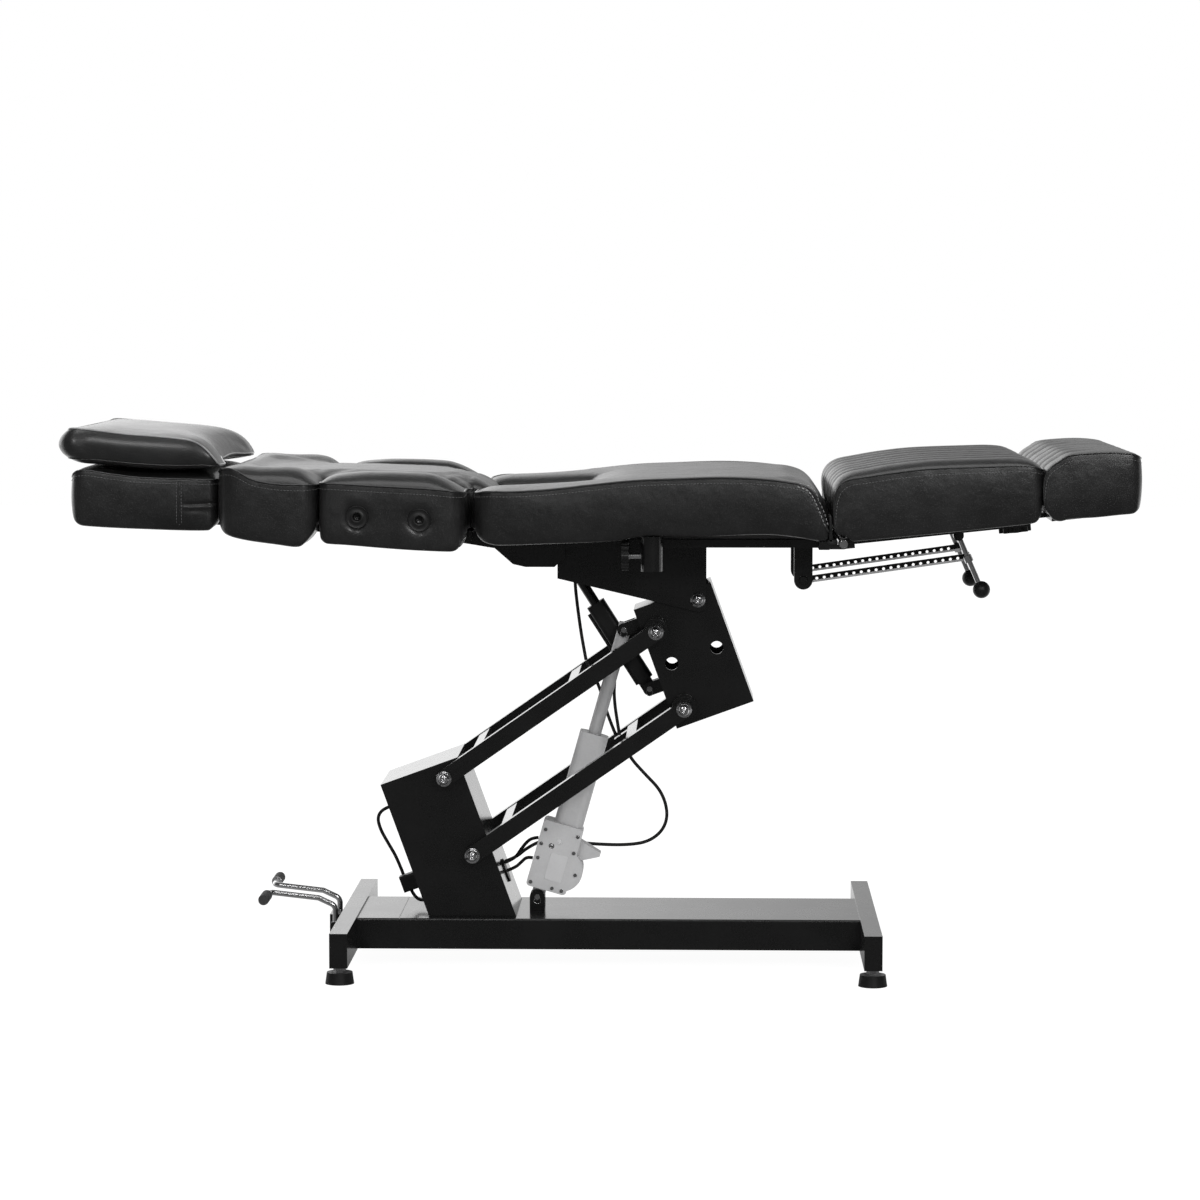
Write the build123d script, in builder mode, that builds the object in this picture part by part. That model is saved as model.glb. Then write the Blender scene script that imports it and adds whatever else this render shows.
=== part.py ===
# Electric tattoo chair: a parallelogram lift on a low base carries a tilting seat, a back with
# removable wings, a sliding head section with a wide pillow, and two leg rests with foot pads.
# Millimetres, +Z up, +X towards the foot end, origin on the floor under the middle of the bed.

from build123d import *
import os
from math import atan2, cos, degrees, hypot, radians, sin, tan

os.makedirs("parts", exist_ok=True)

# Overall places, measured from the middle of the base
head_reach = 945
foot_reach = 907
base_x = (head_reach - foot_reach) / 2
bed_width = 600
sides = (("near", -1), ("far", 1))

# Clearances
soft_gap = 0.3
running_gap = 0.05
side_gap = 0.4
slide_gap = 0.3
overrun = 2

# Base
base_length = 947
rail_length = 600
rail_width = 31
rail_height = 60
rail_wall = 3
foot_height = 30
foot_radius = 25
foot_disc_height = 20
foot_taper = 8
foot_nut_radius = 11
foot_inset = 26
stud_radius = 5
stud_length = 40
beam_width = 240
beam_low = 33
beam_top = 87
beam_wall = 3
beam_edge = 4
beam_seam_width = 1.6
beam_seam_depth = 0.8
beam_seam_from_rail = 75

# Column, in a frame that leans back about the lower pivot: u forwards, v upwards
lower_pivot_x = -238.2
lower_pivot_z = 199.5
column_lean = 20
column_back = 112
column_front = 33
column_top = 170
column_width = 200
column_wall = 4
slot_rise = -60
slot_length = 40
slot_width = 30

# Parallelogram arms
arm_length = 452.5
arm_angle = 34.9
pivot_spacing = 144.4
arm_height = 30
arm_width = 25
cross_bar_length = 22
cross_bar_height = 20
cross_bar_drop = 1
upper_bar_shares = (0.18, 0.63)
lower_bar_shares = (0.18, 0.77)
clip_length = 28
clip_height = 12
clip_width = 26
clip_y = 33

# Pivot bolts
pivot_radius = 8
washer_radius = 13.5
washer_height = 3
nut_radius = 11
nut_height = 7
dome_radius = 8
dome_height = 4
dome_taper = 20

# Head box, in the same leaned frame about the lower head pivot
box_back = 26
box_front = 118
box_low = 34
box_top = 190
box_half_width = 62
box_wall = 5
box_hole_radius = 11.5
box_hole_v = 77.6
box_hole_us = (4.7, 89)
boss_radius = 21
tilt_pivot_u = 86.6
tilt_pivot_v = 168.9

# Lift actuator, in a frame along its axis from the base pin: t across, s along
lift_pin_x = -128
lift_pin_z = 112.6
lift_y = -24
lift_top_u = -55.2
lift_top_v = 160.6
lift_axis_offset = 18
gearbox_left = -26
gearbox_right = 47
gearbox_low = 18
gearbox_high = 140
gearbox_half_depth = 30
gearbox_corner = 7
gearbox_wall = 4
bulge_t = 28
bulge_s = 60
bulge_radius = 38
motor_radius = 32
plug_reach = 40
plug_half_depth = 14
screw_spots = (
    (-18.4, 123.3), (-19.4, 97.3), (-18.4, 71.2), (-19, 26), (20.6, 25), (38, 25),
    (54, 58.8), (40.8, 95.7), (40, 126),
)
screw_head_radius = 3.2
screw_head_height = 2
screw_depth = 3
lift_tube_width = 52
lift_tube_depth = 46
lift_tube_corner = 16
lift_tube_bore = 13.5
lift_tube_end = 309
lift_collar = 8
lift_rod_radius = 11.8
lift_rod_start = 284
lift_rod_head = 12
lift_bore_length = 176
lead_screw_radius = 6
lead_screw_start = 52
lead_screw_end = 300
lift_slot_length = 5.3
lift_slot_turn = -26
lift_slot_gap = 0.6
lift_eye_radius = 12
lift_eye_thickness = 19

# Tilt actuator, in a frame along its axis from the pin on the head box
tilt_pin_u = -50.9
tilt_pin_v = 41.5
tilt_y = 25
tilt_top_x = -79
tilt_top_z = 714.9
tilt_housing_width = 34
tilt_housing_depth = 32
tilt_housing_corner = 8
tilt_housing_start = 18
tilt_housing_end = 181
tilt_rod_radius = 9
tilt_rod_start = 72
tilt_eye_radius = 12
tilt_eye_thickness = 14
tilt_eye_gap = 0.9

# Clevises and their pins
pin_radius = 5
clevis_ear = 5
clevis_base = 5
clevis_width = 27
pin_head_radius = 7
pin_head_height = 2
ring_radius = 6
ring_wire = 0.8

# Seat bracket and frame
bracket_plate = 6
bracket_left = -90.4
bracket_right = 171.6
bracket_left_low = 683.6
bracket_right_low = 625
bracket_corner_back = 13
bracket_web = 5
bracket_rod_x = 153.3
bracket_rod_z = 691.5
bracket_rod_radius = 5
deck_low = 750
deck_height = 14
deck_left = -205
deck_right = 380
deck_inset = 65
deck_half_width = bed_width / 2 - deck_inset
notch_end = -40
notch_half_width = 125
hanger_x = 340
hanger_z = 686
hanger_y = 122
hanger_width = 32
hanger_ear = 6
leg_hinge_x = 403.5
leg_hinge_z = 760
hinge_lug_radius = 9
hinge_pin_radius = 5

# Armrest sockets
socket_x = 78
socket_inset = 28
socket_y = bed_width / 2 - socket_inset
socket_low = 712
socket_high = 772
socket_outer = 18.5
socket_bore = 14
clamp_z = 738
clamp_radius = 24.5
clamp_thickness = 12
clamp_left = 27
clamp_screw_radius = 5
clamp_lobe_radius = 5
clamp_lobes = 8

# Back
back_hinge_x = -93
back_hinge_z = 775
back_rise = 3.2
back_low_x = -265
back_low_z = 745
back_deck_height = 16
deck_rise = 14
back_left = -660
back_waist_start = -490
back_waist_end = -232
back_right = -190
back_overlap = 110
back_height = 102
back_crown = 22
back_waist_half = 184
back_tongue_half = 121
back_deck_half = 175
back_deck_left = -645
back_deck_right = -236
arm_plate = 8
arm_plate_y = 80
back_pin_head = 3
back_lug_y = 70
back_lug = 8
tongue_sections = (
    (0, 1, 0.94, 0.9), (0.7, 1, 0.92, 0.9), (0.84, 0.99, 0.84, 0.7), (0.95, 0.96, 0.66, 0.5),
    (1, 0.93, 0.46, 0.3),
)

# Wings
wing_left = -486
wing_right = -241
wing_inner = 190
wing_height = 124
wing_crown = 26
wing_board_inset = 14
wing_rod_xs = (-440, -360)
wing_rod_radius = 5
wing_rod_reach = 90
wing_rod_gap = 0.4
grommet_radius = 19.5
grommet_bore = 6
grommet_height = 2.5
grommet_xs = (-422, -316)
grommet_zs = (805, 800)

# Head section
head_left = -919
head_right = -668
head_width = 490
head_height = 86
head_crown = 14
head_cushion_rise = 5.4
head_board_inset = 16
head_deck_half = 190
head_bar_y = 110
head_bar_width = 30
head_bar_height = 10
head_bar_overlap = 180
pillow_left = -head_reach
pillow_right = -650
pillow_width = 490
pillow_height = 56
pillow_crown = 8
pillow_tip_rises = (17, 20)
pillow_tip_lengths = (40, 50)
pillow_sections = (
    (0, 0.96, 0.8, 0.3), (0.05, 0.985, 1.06, 0.8), (0.15, 1, 1.12, 1), (0.5, 1, 1, 1), (0.82, 1, 0.92, 1),
    (0.9, 0.995, 0.64, 0.8), (0.95, 0.99, 0.36, 0.5), (1, 0.98, 0.1, 0.1),
)
neck_depth = 25
neck_radius = 660

# Leg rests, in a frame that rises from the hinge
leg_rise = 6
leg_split = 6
leg_left = 384
leg_right = 739
leg_length = 350
leg_deck_rise = -2
leg_deck_height = 16
leg_deck_inset = 14
leg_deck_start = 10
leg_deck_end = 318
leg_start_gap = 22
leg_height = 105
leg_crown = 22
leg_bottom_gap = 2
leg_sections = (
    (0, 0.96, 0.8, 0.2), (0.035, 0.985, 0.92, 0.6), (0.1, 1, 0.98, 0.9), (0.2, 1, 1, 1),
    (0.5, 1, 1.03, 1), (0.85, 1, 1, 1),
    (0.95, 1, 0.95, 0.8), (1, 0.97, 0.86, 0.4),
)
lug_width = 6
lug_start = 11
lug_inset = 12
lug_end = bed_width / 2 - lug_inset
seat_lug_ys = ((lug_start, lug_start + lug_width), (lug_end - lug_width, lug_end))
leg_lug_ys = (
    (lug_start + lug_width + side_gap, lug_start + 2 * lug_width + side_gap),
    (lug_end - 2 * lug_width - side_gap, lug_end - lug_width - side_gap),
)
foot_bar_width = 40
foot_bar_height = 8
foot_bar_overlap = 160
foot_start = 340
foot_length = 166
foot_deck_inset = 14
foot_pad_height = 100
foot_crown = 12
foot_sections = (
    (0, 0.96, 0.86, 0.3), (0.05, 0.98, 0.93, 0.6), (0.2, 1, 1, 1), (0.35, 1, 1.02, 1), (0.6, 1, 0.99, 1),
    (0.9, 1, 0.92, 0.8), (1, 0.97, 0.86, 0.4),
)
knob_reach = 301
knob_radius = 28
knob_height = 14
knob_drop = 3
knob_screw_radius = 5

# Ratchet struts and release levers
strut_angle = 8.2
strut_length = 292
strut_height = 12
strut_thickness = 6
strut_hole_radius = 2.6
strut_hole_pitch = 13
strut_hole_first = 24
strut_holes = 20
strut_stop = 5
lever_reach = 204
lever_y = 133
lever_hub = 6
lever_post = 6
lever_pin_radius = 4
lever_drop = 18
lever_length = 103
lever_angle = 23.4
lever_radius = 4.5
lever_knob_radius = 15
lever_peg_share = 0.37
lever_peg_length = 12
lever_peg_radius = 3

# Pedals
pedal_reach = 14.5
pedal_x = -base_length / 2 - pedal_reach
pedal_z = 60
pedal_y = 42
pedal_radius = 5
pedal_hub_radius = 9
pedal_hub_half = 7
pedal_rise = 36
pedal_knee_back = 30
pedal_knee_rise = 50
pedal_end_back = 118
pedal_end_rise = 60
pedal_tip_y = 128
pedal_bend = 12
pedal_cap_radius = 9.5
pedal_cap_length = 50
pedal_pin_radius = 4
pedal_plate = 4
pedal_ear = 4
switch_box_depth = 22
switch_box_height = 36
switch_box_half = 27

# Cables
cable_radius = 3
cable_bend_share = 0.45


def spot(x, z, y=0):
    return Vector(base_x + x, y, z)


def side_plane(point, lean=0):
    """A plane seen from the near side: local x rises lean degrees from +X, and its normal is -Y."""
    return Plane(origin=point, x_dir=(cos(radians(lean)), 0, sin(radians(lean))), z_dir=(0, -1, 0))


def leaned(point, lean, u, v, y=0):
    """The point u along and v up a frame that leans by lean degrees about point."""
    c, s = cos(radians(lean)), sin(radians(lean))
    return Vector(point.X + u * c - v * s, point.Y + y, point.Z + u * s + v * c)


def outward(point, half_span, sign, lean=0):
    """A plane at the near or far end of a span across the chair, facing away from the middle."""
    return Plane(
        origin=(point.X, point.Y + sign * half_span, point.Z),
        x_dir=(cos(radians(lean)), 0, sin(radians(lean))),
        z_dir=(0, sign, 0),
    )


# Pivots of the lift and of the seat
lower_pivot = spot(lower_pivot_x, lower_pivot_z)
upper_pivot = leaned(lower_pivot, column_lean, 0, pivot_spacing)
lower_head = leaned(lower_pivot, arm_angle, arm_length, 0)
upper_head = leaned(lower_head, column_lean, 0, pivot_spacing)
seat_pivot = leaned(lower_head, column_lean, tilt_pivot_u, tilt_pivot_v)
lift_foot = spot(lift_pin_x, lift_pin_z, lift_y)
lift_top = leaned(lower_head, column_lean, lift_top_u, lift_top_v, lift_y)
tilt_foot = leaned(lower_head, column_lean, tilt_pin_u, tilt_pin_v, tilt_y)
tilt_top = spot(tilt_top_x, tilt_top_z, tilt_y)
leg_hinge = spot(leg_hinge_x, leg_hinge_z)
back_hinge = spot(back_hinge_x, back_hinge_z)
strut_pivot = spot(hanger_x, hanger_z)
lever_pivot = leaned(leg_hinge, leg_rise, lever_reach, -lever_drop + leg_bottom_gap)

arm_inner = column_width / 2 + side_gap
arm_outer = arm_inner + arm_width
bolt_half = arm_outer + side_gap

# The lift actuator's axis leaves the line between its two pins by a fixed offset
lift_span = hypot(lift_top.X - lift_foot.X, lift_top.Z - lift_foot.Z)
lift_line = degrees(atan2(lift_top.X - lift_foot.X, lift_top.Z - lift_foot.Z))
lift_lean = -(lift_line - degrees(atan2(lift_axis_offset, lift_span)))
lift_reach = (lift_span**2 - lift_axis_offset**2) ** 0.5
tilt_span = hypot(tilt_top.X - tilt_foot.X, tilt_top.Z - tilt_foot.Z)
tilt_lean = -degrees(atan2(tilt_top.X - tilt_foot.X, tilt_top.Z - tilt_foot.Z))

rail_out = base_length / 2
rail_in = rail_out - rail_width
deck_top = deck_low + deck_height
bracket_in = box_half_width + side_gap
bracket_out = bracket_in + bracket_plate


def save(piece, name):
    piece.label = name
    export_step(piece, f"parts/{name}.step")


def group(pieces):
    """Separate solids of one node."""
    with BuildPart() as together:
        add(pieces)
    return together.part


def pivot_bolt(point, half_span, radius):
    """A shaft across the chair with a washer and a domed nut at each end."""
    with BuildPart() as bolt:
        with BuildSketch(side_plane(point)):
            Circle(radius)
        extrude(amount=half_span, both=True)
        for _, sign in sides:
            face = outward(point, half_span, sign)
            with BuildSketch(face):
                Circle(washer_radius)
            extrude(amount=washer_height)
            with BuildSketch(face.offset(washer_height)):
                RegularPolygon(nut_radius, 6)
            extrude(amount=nut_height)
            with BuildSketch(face.offset(washer_height + nut_height)):
                Circle(dome_radius)
            extrude(amount=dome_height, taper=dome_taper)
    return bolt.part


def clevis(pin, lean, reach, gap, width=clevis_width, hole=pin_radius, ear=clevis_ear):
    """Two ears on a foot that lies reach below the pin, down the leaned frame."""
    with BuildPart() as body:
        with BuildSketch(side_plane(pin, lean)):
            Circle(width / 2)
            with Locations((0, -reach / 2)):
                Rectangle(width, reach)
        extrude(amount=gap / 2 + ear, both=True)
        with BuildSketch(side_plane(pin, lean)):
            with Locations((0, -reach + clevis_base + reach)):
                Rectangle(width + overrun, 2 * reach)
        extrude(amount=gap / 2, both=True, mode=Mode.SUBTRACT)
        with BuildSketch(side_plane(pin, lean)):
            Circle(hole)
        extrude(amount=gap / 2 + ear + overrun, both=True, mode=Mode.SUBTRACT)
    return body.part


def ring_pin(pin, half_span, radius=pin_radius):
    """A plain pin with a flat head on the far side and a locking ring on the near side."""
    with BuildPart() as body:
        with BuildSketch(side_plane(pin)):
            Circle(radius)
        extrude(amount=half_span, both=True)
        with BuildSketch(outward(pin, half_span, 1)):
            Circle(pin_head_radius)
        extrude(amount=pin_head_height)
        with BuildSketch(outward(pin, half_span, -1)):
            Circle(radius)
        extrude(amount=pin_head_height)
        with Locations(Plane(origin=(pin.X, pin.Y - half_span - pin_head_height / 2, pin.Z - ring_radius),
                             z_dir=(0, 1, 0))):
            Torus(ring_radius, ring_wire)
    return body.part


def cable(points, radius=cable_radius):
    """A tube along hand-chosen points with the widest bends that its runs allow."""
    route = [Vector(*p) for p in points]
    bends = []
    for before, here, after in zip(route, route[1:], route[2:]):
        turn = (here - before).get_angle(after - here)
        shorter = min((here - before).length, (after - here).length)
        bends.append(cable_bend_share * shorter / tan(radians(turn / 2)))
    print("cable bends", [round(b) for b in bends])
    with BuildPart() as tube:
        with BuildLine() as path:
            if bends:
                FilletPolyline(*route, radius=bends)
            else:
                Line(*route)
        with BuildSketch(Plane(origin=path.line @ 0, z_dir=path.line % 0)):
            Circle(radius)
        sweep()
    return tube.part


# A pad is lofted through sections along X, given as shares of its length, width, height and crown
pad_ends = (
    (0, 0.93, 0.86, 0.4), (0.03, 0.975, 0.95, 0.8), (0.09, 1, 1, 1), (0.5, 1, 1, 1),
    (0.91, 1, 1, 1), (0.97, 0.975, 0.95, 0.8), (1, 0.93, 0.86, 0.4),
)
draw_share = 0.035
channel_depth_share = 0.25


def pad(left, right, y, width, low, height, crown, rise=0, sections=pad_ends, channels=1, draw=draw_share):
    """A cushion with a crowned top, drawn-in sides and, if asked, sewn channels along its length."""
    with BuildPart() as cushion:
        for share, width_share, height_share, crown_share in sections:
            x = left + share * (right - left)
            bottom = low(x) if callable(low) else low + (x - left) * tan(radians(rise))
            half = width * width_share / 2
            top = bottom + height * height_share
            inset = width * draw
            puff = crown * crown_share

            def top_at(across, dip=0):
                return (y + across * half, top + puff * (1 - across**2) - dip)

            with BuildSketch(Plane(origin=(base_x + x, 0, 0), x_dir=(0, 1, 0), z_dir=(1, 0, 0))):
                with BuildLine():
                    Line((y - half + inset, bottom), (y + half - inset, bottom))
                    ThreePointArc(
                        (y + half - inset, bottom), (y + half, (bottom + top) / 2), (y + half - inset, top)
                    )
                    if channels == 1:
                        ThreePointArc((y + half - inset, top), (y, top + puff), (y - half + inset, top))
                    else:
                        edge = 1 - inset / half
                        marks = [edge * (1 - 2 * k / channels) for k in range(channels + 1)]
                        dip = puff * channel_depth_share
                        ends = [top_at(m, dip) for m in marks]
                        ends[0], ends[-1] = (y + half - inset, top), (y - half + inset, top)
                        for k in range(channels):
                            crest = top_at((marks[k] + marks[k + 1]) / 2)
                            ThreePointArc(ends[k], crest, ends[k + 1])
                    ThreePointArc(
                        (y - half + inset, top), (y - half, (bottom + top) / 2), (y - half + inset, bottom)
                    )
                make_face()
        loft(ruled=True)
    return cushion.part


# Base rails, beam and feet
foot_ys = (-rail_length / 2 + foot_inset, rail_length / 2 - foot_inset)


def cross_rail(x):
    with BuildPart() as rail:
        with Locations((x, 0, foot_height + rail_height / 2)):
            Box(rail_width, rail_length, rail_height)
            Box(
                rail_width - 2 * rail_wall, rail_length - 2 * rail_wall, rail_height - 2 * rail_wall,
                mode=Mode.SUBTRACT,
            )
        with Locations(*[(x, y, foot_height) for y in foot_ys]):
            Cylinder(stud_radius, 2 * rail_wall + overrun, mode=Mode.SUBTRACT)
    return rail.part


rail_xs = (base_x - rail_out + rail_width / 2, base_x + rail_out - rail_width / 2)
save(cross_rail(rail_xs[0]), "head_cross_rail")
save(cross_rail(rail_xs[1]), "foot_cross_rail")


def levelling_foot(x, y):
    floor = Plane((x, y, 0))
    with BuildPart() as foot:
        with BuildSketch(floor):
            Circle(foot_radius)
        extrude(amount=foot_disc_height, taper=foot_taper)
        with BuildSketch(floor.offset(foot_disc_height)):
            RegularPolygon(foot_nut_radius, 6)
        extrude(amount=foot_height - foot_disc_height)
        with BuildSketch(floor.offset(foot_disc_height)):
            Circle(stud_radius)
        extrude(amount=stud_length)
    return foot.part


save(group([levelling_foot(x, y) for x in rail_xs for y in foot_ys]), "levelling_feet")

with BuildPart() as beam:
    with Locations((base_x, 0, (beam_low + beam_top) / 2)):
        Box(2 * rail_in, beam_width, beam_top - beam_low)
        top_edges = beam.edges().filter_by(Axis.X).group_by(Axis.Z)[-1]
        fillet(top_edges, beam_edge)
        Box(
            2 * rail_in, beam_width - 2 * beam_wall, beam_top - beam_low - 2 * beam_wall, mode=Mode.SUBTRACT
        )
    with Locations((base_x - rail_in + beam_seam_from_rail, 0, beam_top)):
        Box(beam_seam_width, beam_width + overrun, 2 * beam_seam_depth, mode=Mode.SUBTRACT)
save(beam.part, "base_beam")

# Column: a folded box that is open to the front, and the panel that closes it
column_plane = side_plane(lower_pivot, column_lean)
column_mid_u = (column_front - column_back) / 2
column_depth = column_front + column_back
column_drop = 2 * lower_pivot_z
floor_cut = Plane.XY.offset(beam_top)
with BuildPart() as column:
    with BuildSketch(column_plane):
        with Locations((column_mid_u, (column_top - column_drop) / 2)):
            Rectangle(column_depth, column_top + column_drop)
    extrude(amount=column_width / 2, both=True)
    with BuildSketch(column_plane):
        with Locations((column_mid_u + column_wall, (column_top - column_drop) / 2 - column_wall)):
            Rectangle(column_depth, column_top + column_drop)
    extrude(amount=column_width / 2 - column_wall, both=True, mode=Mode.SUBTRACT)
    with BuildSketch(column_plane):
        with Locations((0, 0), (0, pivot_spacing)):
            Circle(pivot_radius)
    extrude(amount=column_width, both=True, mode=Mode.SUBTRACT)
    split(bisect_by=floor_cut, keep=Keep.TOP)
save(column.part, "column")

slot_plane = Plane(
    origin=leaned(lower_pivot, column_lean, column_front, slot_rise),
    x_dir=(0, 1, 0),
    z_dir=(cos(radians(column_lean)), 0, sin(radians(column_lean))),
)
with BuildPart() as panel:
    with BuildSketch(column_plane):
        with Locations((column_front - column_wall / 2, (column_top - column_drop) / 2 - column_wall / 2)):
            Rectangle(column_wall, column_top + column_drop - column_wall - 2 * slide_gap)
    extrude(amount=column_width / 2 - column_wall - slide_gap, both=True)
    with BuildSketch(slot_plane):
        SlotOverall(slot_length, slot_width, rotation=90)
    extrude(amount=-column_wall - overrun, mode=Mode.SUBTRACT)
    split(bisect_by=floor_cut, keep=Keep.TOP)
save(panel.part, "column_front_panel")

save(
    group([pivot_bolt(p, bolt_half, pivot_radius) for p in (lower_pivot, upper_pivot)]),
    "column_pivot_bolts",
)

# Control unit inside the column, against its back wall
unit_depth = 66
unit_width = 150
unit_height = 160
unit_rise = 30
with BuildPart() as unit:
    with BuildSketch(column_plane):
        with Locations((-column_back + column_wall + unit_depth / 2, unit_rise)):
            Rectangle(unit_depth, unit_height)
    extrude(amount=unit_width / 2, both=True)
save(unit.part, "control_unit")

# Grommet in the cable slot, and on the column's back a gland above and a plug socket below
grommet_lip = 3
gland_v = 118
gland_radius = 7
gland_length = 10
plug_high = -6
plug_low = -36
plug_depth = 38
plug_width = 26
back_plane = Plane(
    origin=leaned(lower_pivot, column_lean, -column_back, 0),
    x_dir=(0, -1, 0),
    z_dir=(-cos(radians(column_lean)), 0, -sin(radians(column_lean))),
)
with BuildPart() as slot_grommet:
    with BuildSketch(slot_plane.offset(-column_wall)):
        SlotOverall(slot_length - 2 * slide_gap, slot_width - 2 * slide_gap, rotation=90)
    extrude(amount=column_wall)
    with BuildSketch(slot_plane):
        SlotOverall(slot_length + grommet_lip, slot_width + grommet_lip, rotation=90)
    extrude(amount=grommet_lip)
with BuildPart() as gland:
    with BuildSketch(back_plane):
        with Locations((0, gland_v)):
            Circle(gland_radius)
    extrude(amount=gland_length)
with BuildPart() as plug:
    with BuildSketch(back_plane):
        with Locations((0, (plug_high + plug_low) / 2)):
            RectangleRounded(plug_width, plug_high - plug_low, grommet_lip)
    extrude(amount=plug_depth)
save(group([slot_grommet.part, gland.part, plug.part]), "column_glands")

# Foot clevis of the lift actuator, with its pin
lift_clevis_gap = lift_eye_thickness + 2 * side_gap
lift_pin_half = lift_clevis_gap / 2 + clevis_ear
save(
    group([
        clevis(lift_foot, 0, lift_pin_z - beam_top, lift_clevis_gap),
        ring_pin(lift_foot, lift_pin_half),
    ]),
    "lift_base_clevis",
)

# Pedal bracket on the head rail, its pin and the switch box between the two pedals
pedal_face = -rail_out
ear_out = pedal_hub_half + side_gap + pedal_ear
with BuildPart() as pedal_bracket:
    with Locations((base_x + pedal_face - pedal_plate / 2, 0, pedal_z)):
        Box(pedal_plate, 2 * (pedal_y + ear_out), 2 * pedal_hub_radius + pedal_plate)
    for _, sign in sides:
        for inner in (-ear_out, pedal_hub_half + side_gap):
            with BuildSketch(side_plane(spot(pedal_x, pedal_z, sign * pedal_y - inner))):
                Circle(pedal_hub_radius)
                with Locations(((pedal_face - pedal_x) / 2, 0)):
                    Rectangle(pedal_face - pedal_x, 2 * pedal_hub_radius)
            extrude(amount=pedal_ear)
    with BuildSketch(side_plane(spot(pedal_x, pedal_z))):
        Circle(pedal_pin_radius)
    extrude(amount=pedal_y + ear_out + overrun, both=True, mode=Mode.SUBTRACT)
with BuildPart() as pedal_pin:
    with BuildSketch(side_plane(spot(pedal_x, pedal_z))):
        Circle(pedal_pin_radius)
    extrude(amount=pedal_y + ear_out, both=True)
with BuildPart() as switch_box:
    with Locations((base_x + pedal_face - pedal_plate - switch_box_depth / 2, 0, pedal_z)):
        Box(switch_box_depth, 2 * switch_box_half, switch_box_height)
    with BuildSketch(side_plane(spot(pedal_x, pedal_z))):
        Circle(pedal_pin_radius)
    extrude(amount=switch_box_half + overrun, both=True, mode=Mode.SUBTRACT)
save(group([pedal_bracket.part, pedal_pin.part, switch_box.part]), "pedal_bracket")


def pedal(sign):
    """A bent rod on the bracket's pin, and the rubber sleeve on its outward end."""
    y = sign * pedal_y
    hinge = spot(pedal_x, pedal_z, y)
    tip = spot(pedal_x - pedal_end_back, pedal_z + pedal_end_rise, sign * pedal_tip_y)
    with BuildPart() as rod:
        with BuildLine() as path:
            FilletPolyline(
                hinge,
                spot(pedal_x, pedal_z + pedal_rise, y),
                spot(pedal_x - pedal_knee_back, pedal_z + pedal_knee_rise, y),
                spot(pedal_x - pedal_end_back, pedal_z + pedal_end_rise, y),
                tip,
                radius=pedal_bend,
            )
        with BuildSketch(Plane(origin=path.line @ 0, z_dir=path.line % 0)):
            Circle(pedal_radius)
        sweep()
        with BuildSketch(side_plane(hinge)):
            Circle(pedal_hub_radius)
        extrude(amount=pedal_hub_half, both=True)
        with BuildSketch(side_plane(hinge)):
            Circle(pedal_pin_radius + running_gap)
        extrude(amount=pedal_hub_half + overrun, both=True, mode=Mode.SUBTRACT)
    with BuildPart() as cap:
        with BuildSketch(outward(Vector(tip.X, 0, tip.Z), abs(tip.Y) - pedal_cap_length, sign)):
            Circle(pedal_cap_radius)
            Circle(pedal_radius, mode=Mode.SUBTRACT)
        extrude(amount=pedal_cap_length)
        with BuildSketch(outward(Vector(tip.X, 0, tip.Z), abs(tip.Y), sign)):
            Circle(pedal_cap_radius)
        extrude(amount=pedal_cap_radius / 2, taper=foot_taper)
    return group([rod.part, cap.part])


for side, sign in sides:
    save(pedal(sign), f"{side}_pedal")


cross_bar_level = (arm_height - cross_bar_height) / 2 - cross_bar_drop


def arm_frame(start, shares):
    """Two side arms, joined by cross bars at shares of their length."""
    plane = side_plane(start, arm_angle)
    with BuildPart() as frame:
        with BuildSketch(plane):
            with Locations((arm_length / 2, 0)):
                SlotCenterToCenter(arm_length, arm_height)
        extrude(amount=arm_outer, both=True)
        with BuildSketch(plane):
            with Locations((arm_length / 2, 0)):
                Rectangle(arm_length + 2 * arm_height, 2 * arm_height)
        extrude(amount=arm_inner, both=True, mode=Mode.SUBTRACT)
        with BuildSketch(plane):
            with Locations(*[(share * arm_length, cross_bar_level) for share in shares]):
                Rectangle(cross_bar_length, cross_bar_height)
        extrude(amount=arm_inner, both=True)
        with BuildSketch(plane):
            with Locations((0, 0), (arm_length, 0)):
                Circle(pivot_radius + running_gap)
        extrude(amount=arm_outer + overrun, both=True, mode=Mode.SUBTRACT)
    return frame.part


# The cable clip sits against the upper cross bar of the lower arms
clip_start = lower_bar_shares[1] * arm_length - cross_bar_length / 2 - clip_length
clip_level = arm_height / 2 - cross_bar_drop - clip_height / 2
with BuildPart() as clip:
    with BuildSketch(side_plane(lower_pivot + Vector(0, clip_y, 0), arm_angle)):
        with Locations((clip_start + clip_length / 2, clip_level)):
            Rectangle(clip_length, clip_height)
    extrude(amount=clip_width / 2, both=True)
save(arm_frame(upper_pivot, upper_bar_shares), "upper_arm_frame")
save(group([arm_frame(lower_pivot, lower_bar_shares), clip.part]), "lower_arm_frame")

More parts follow.
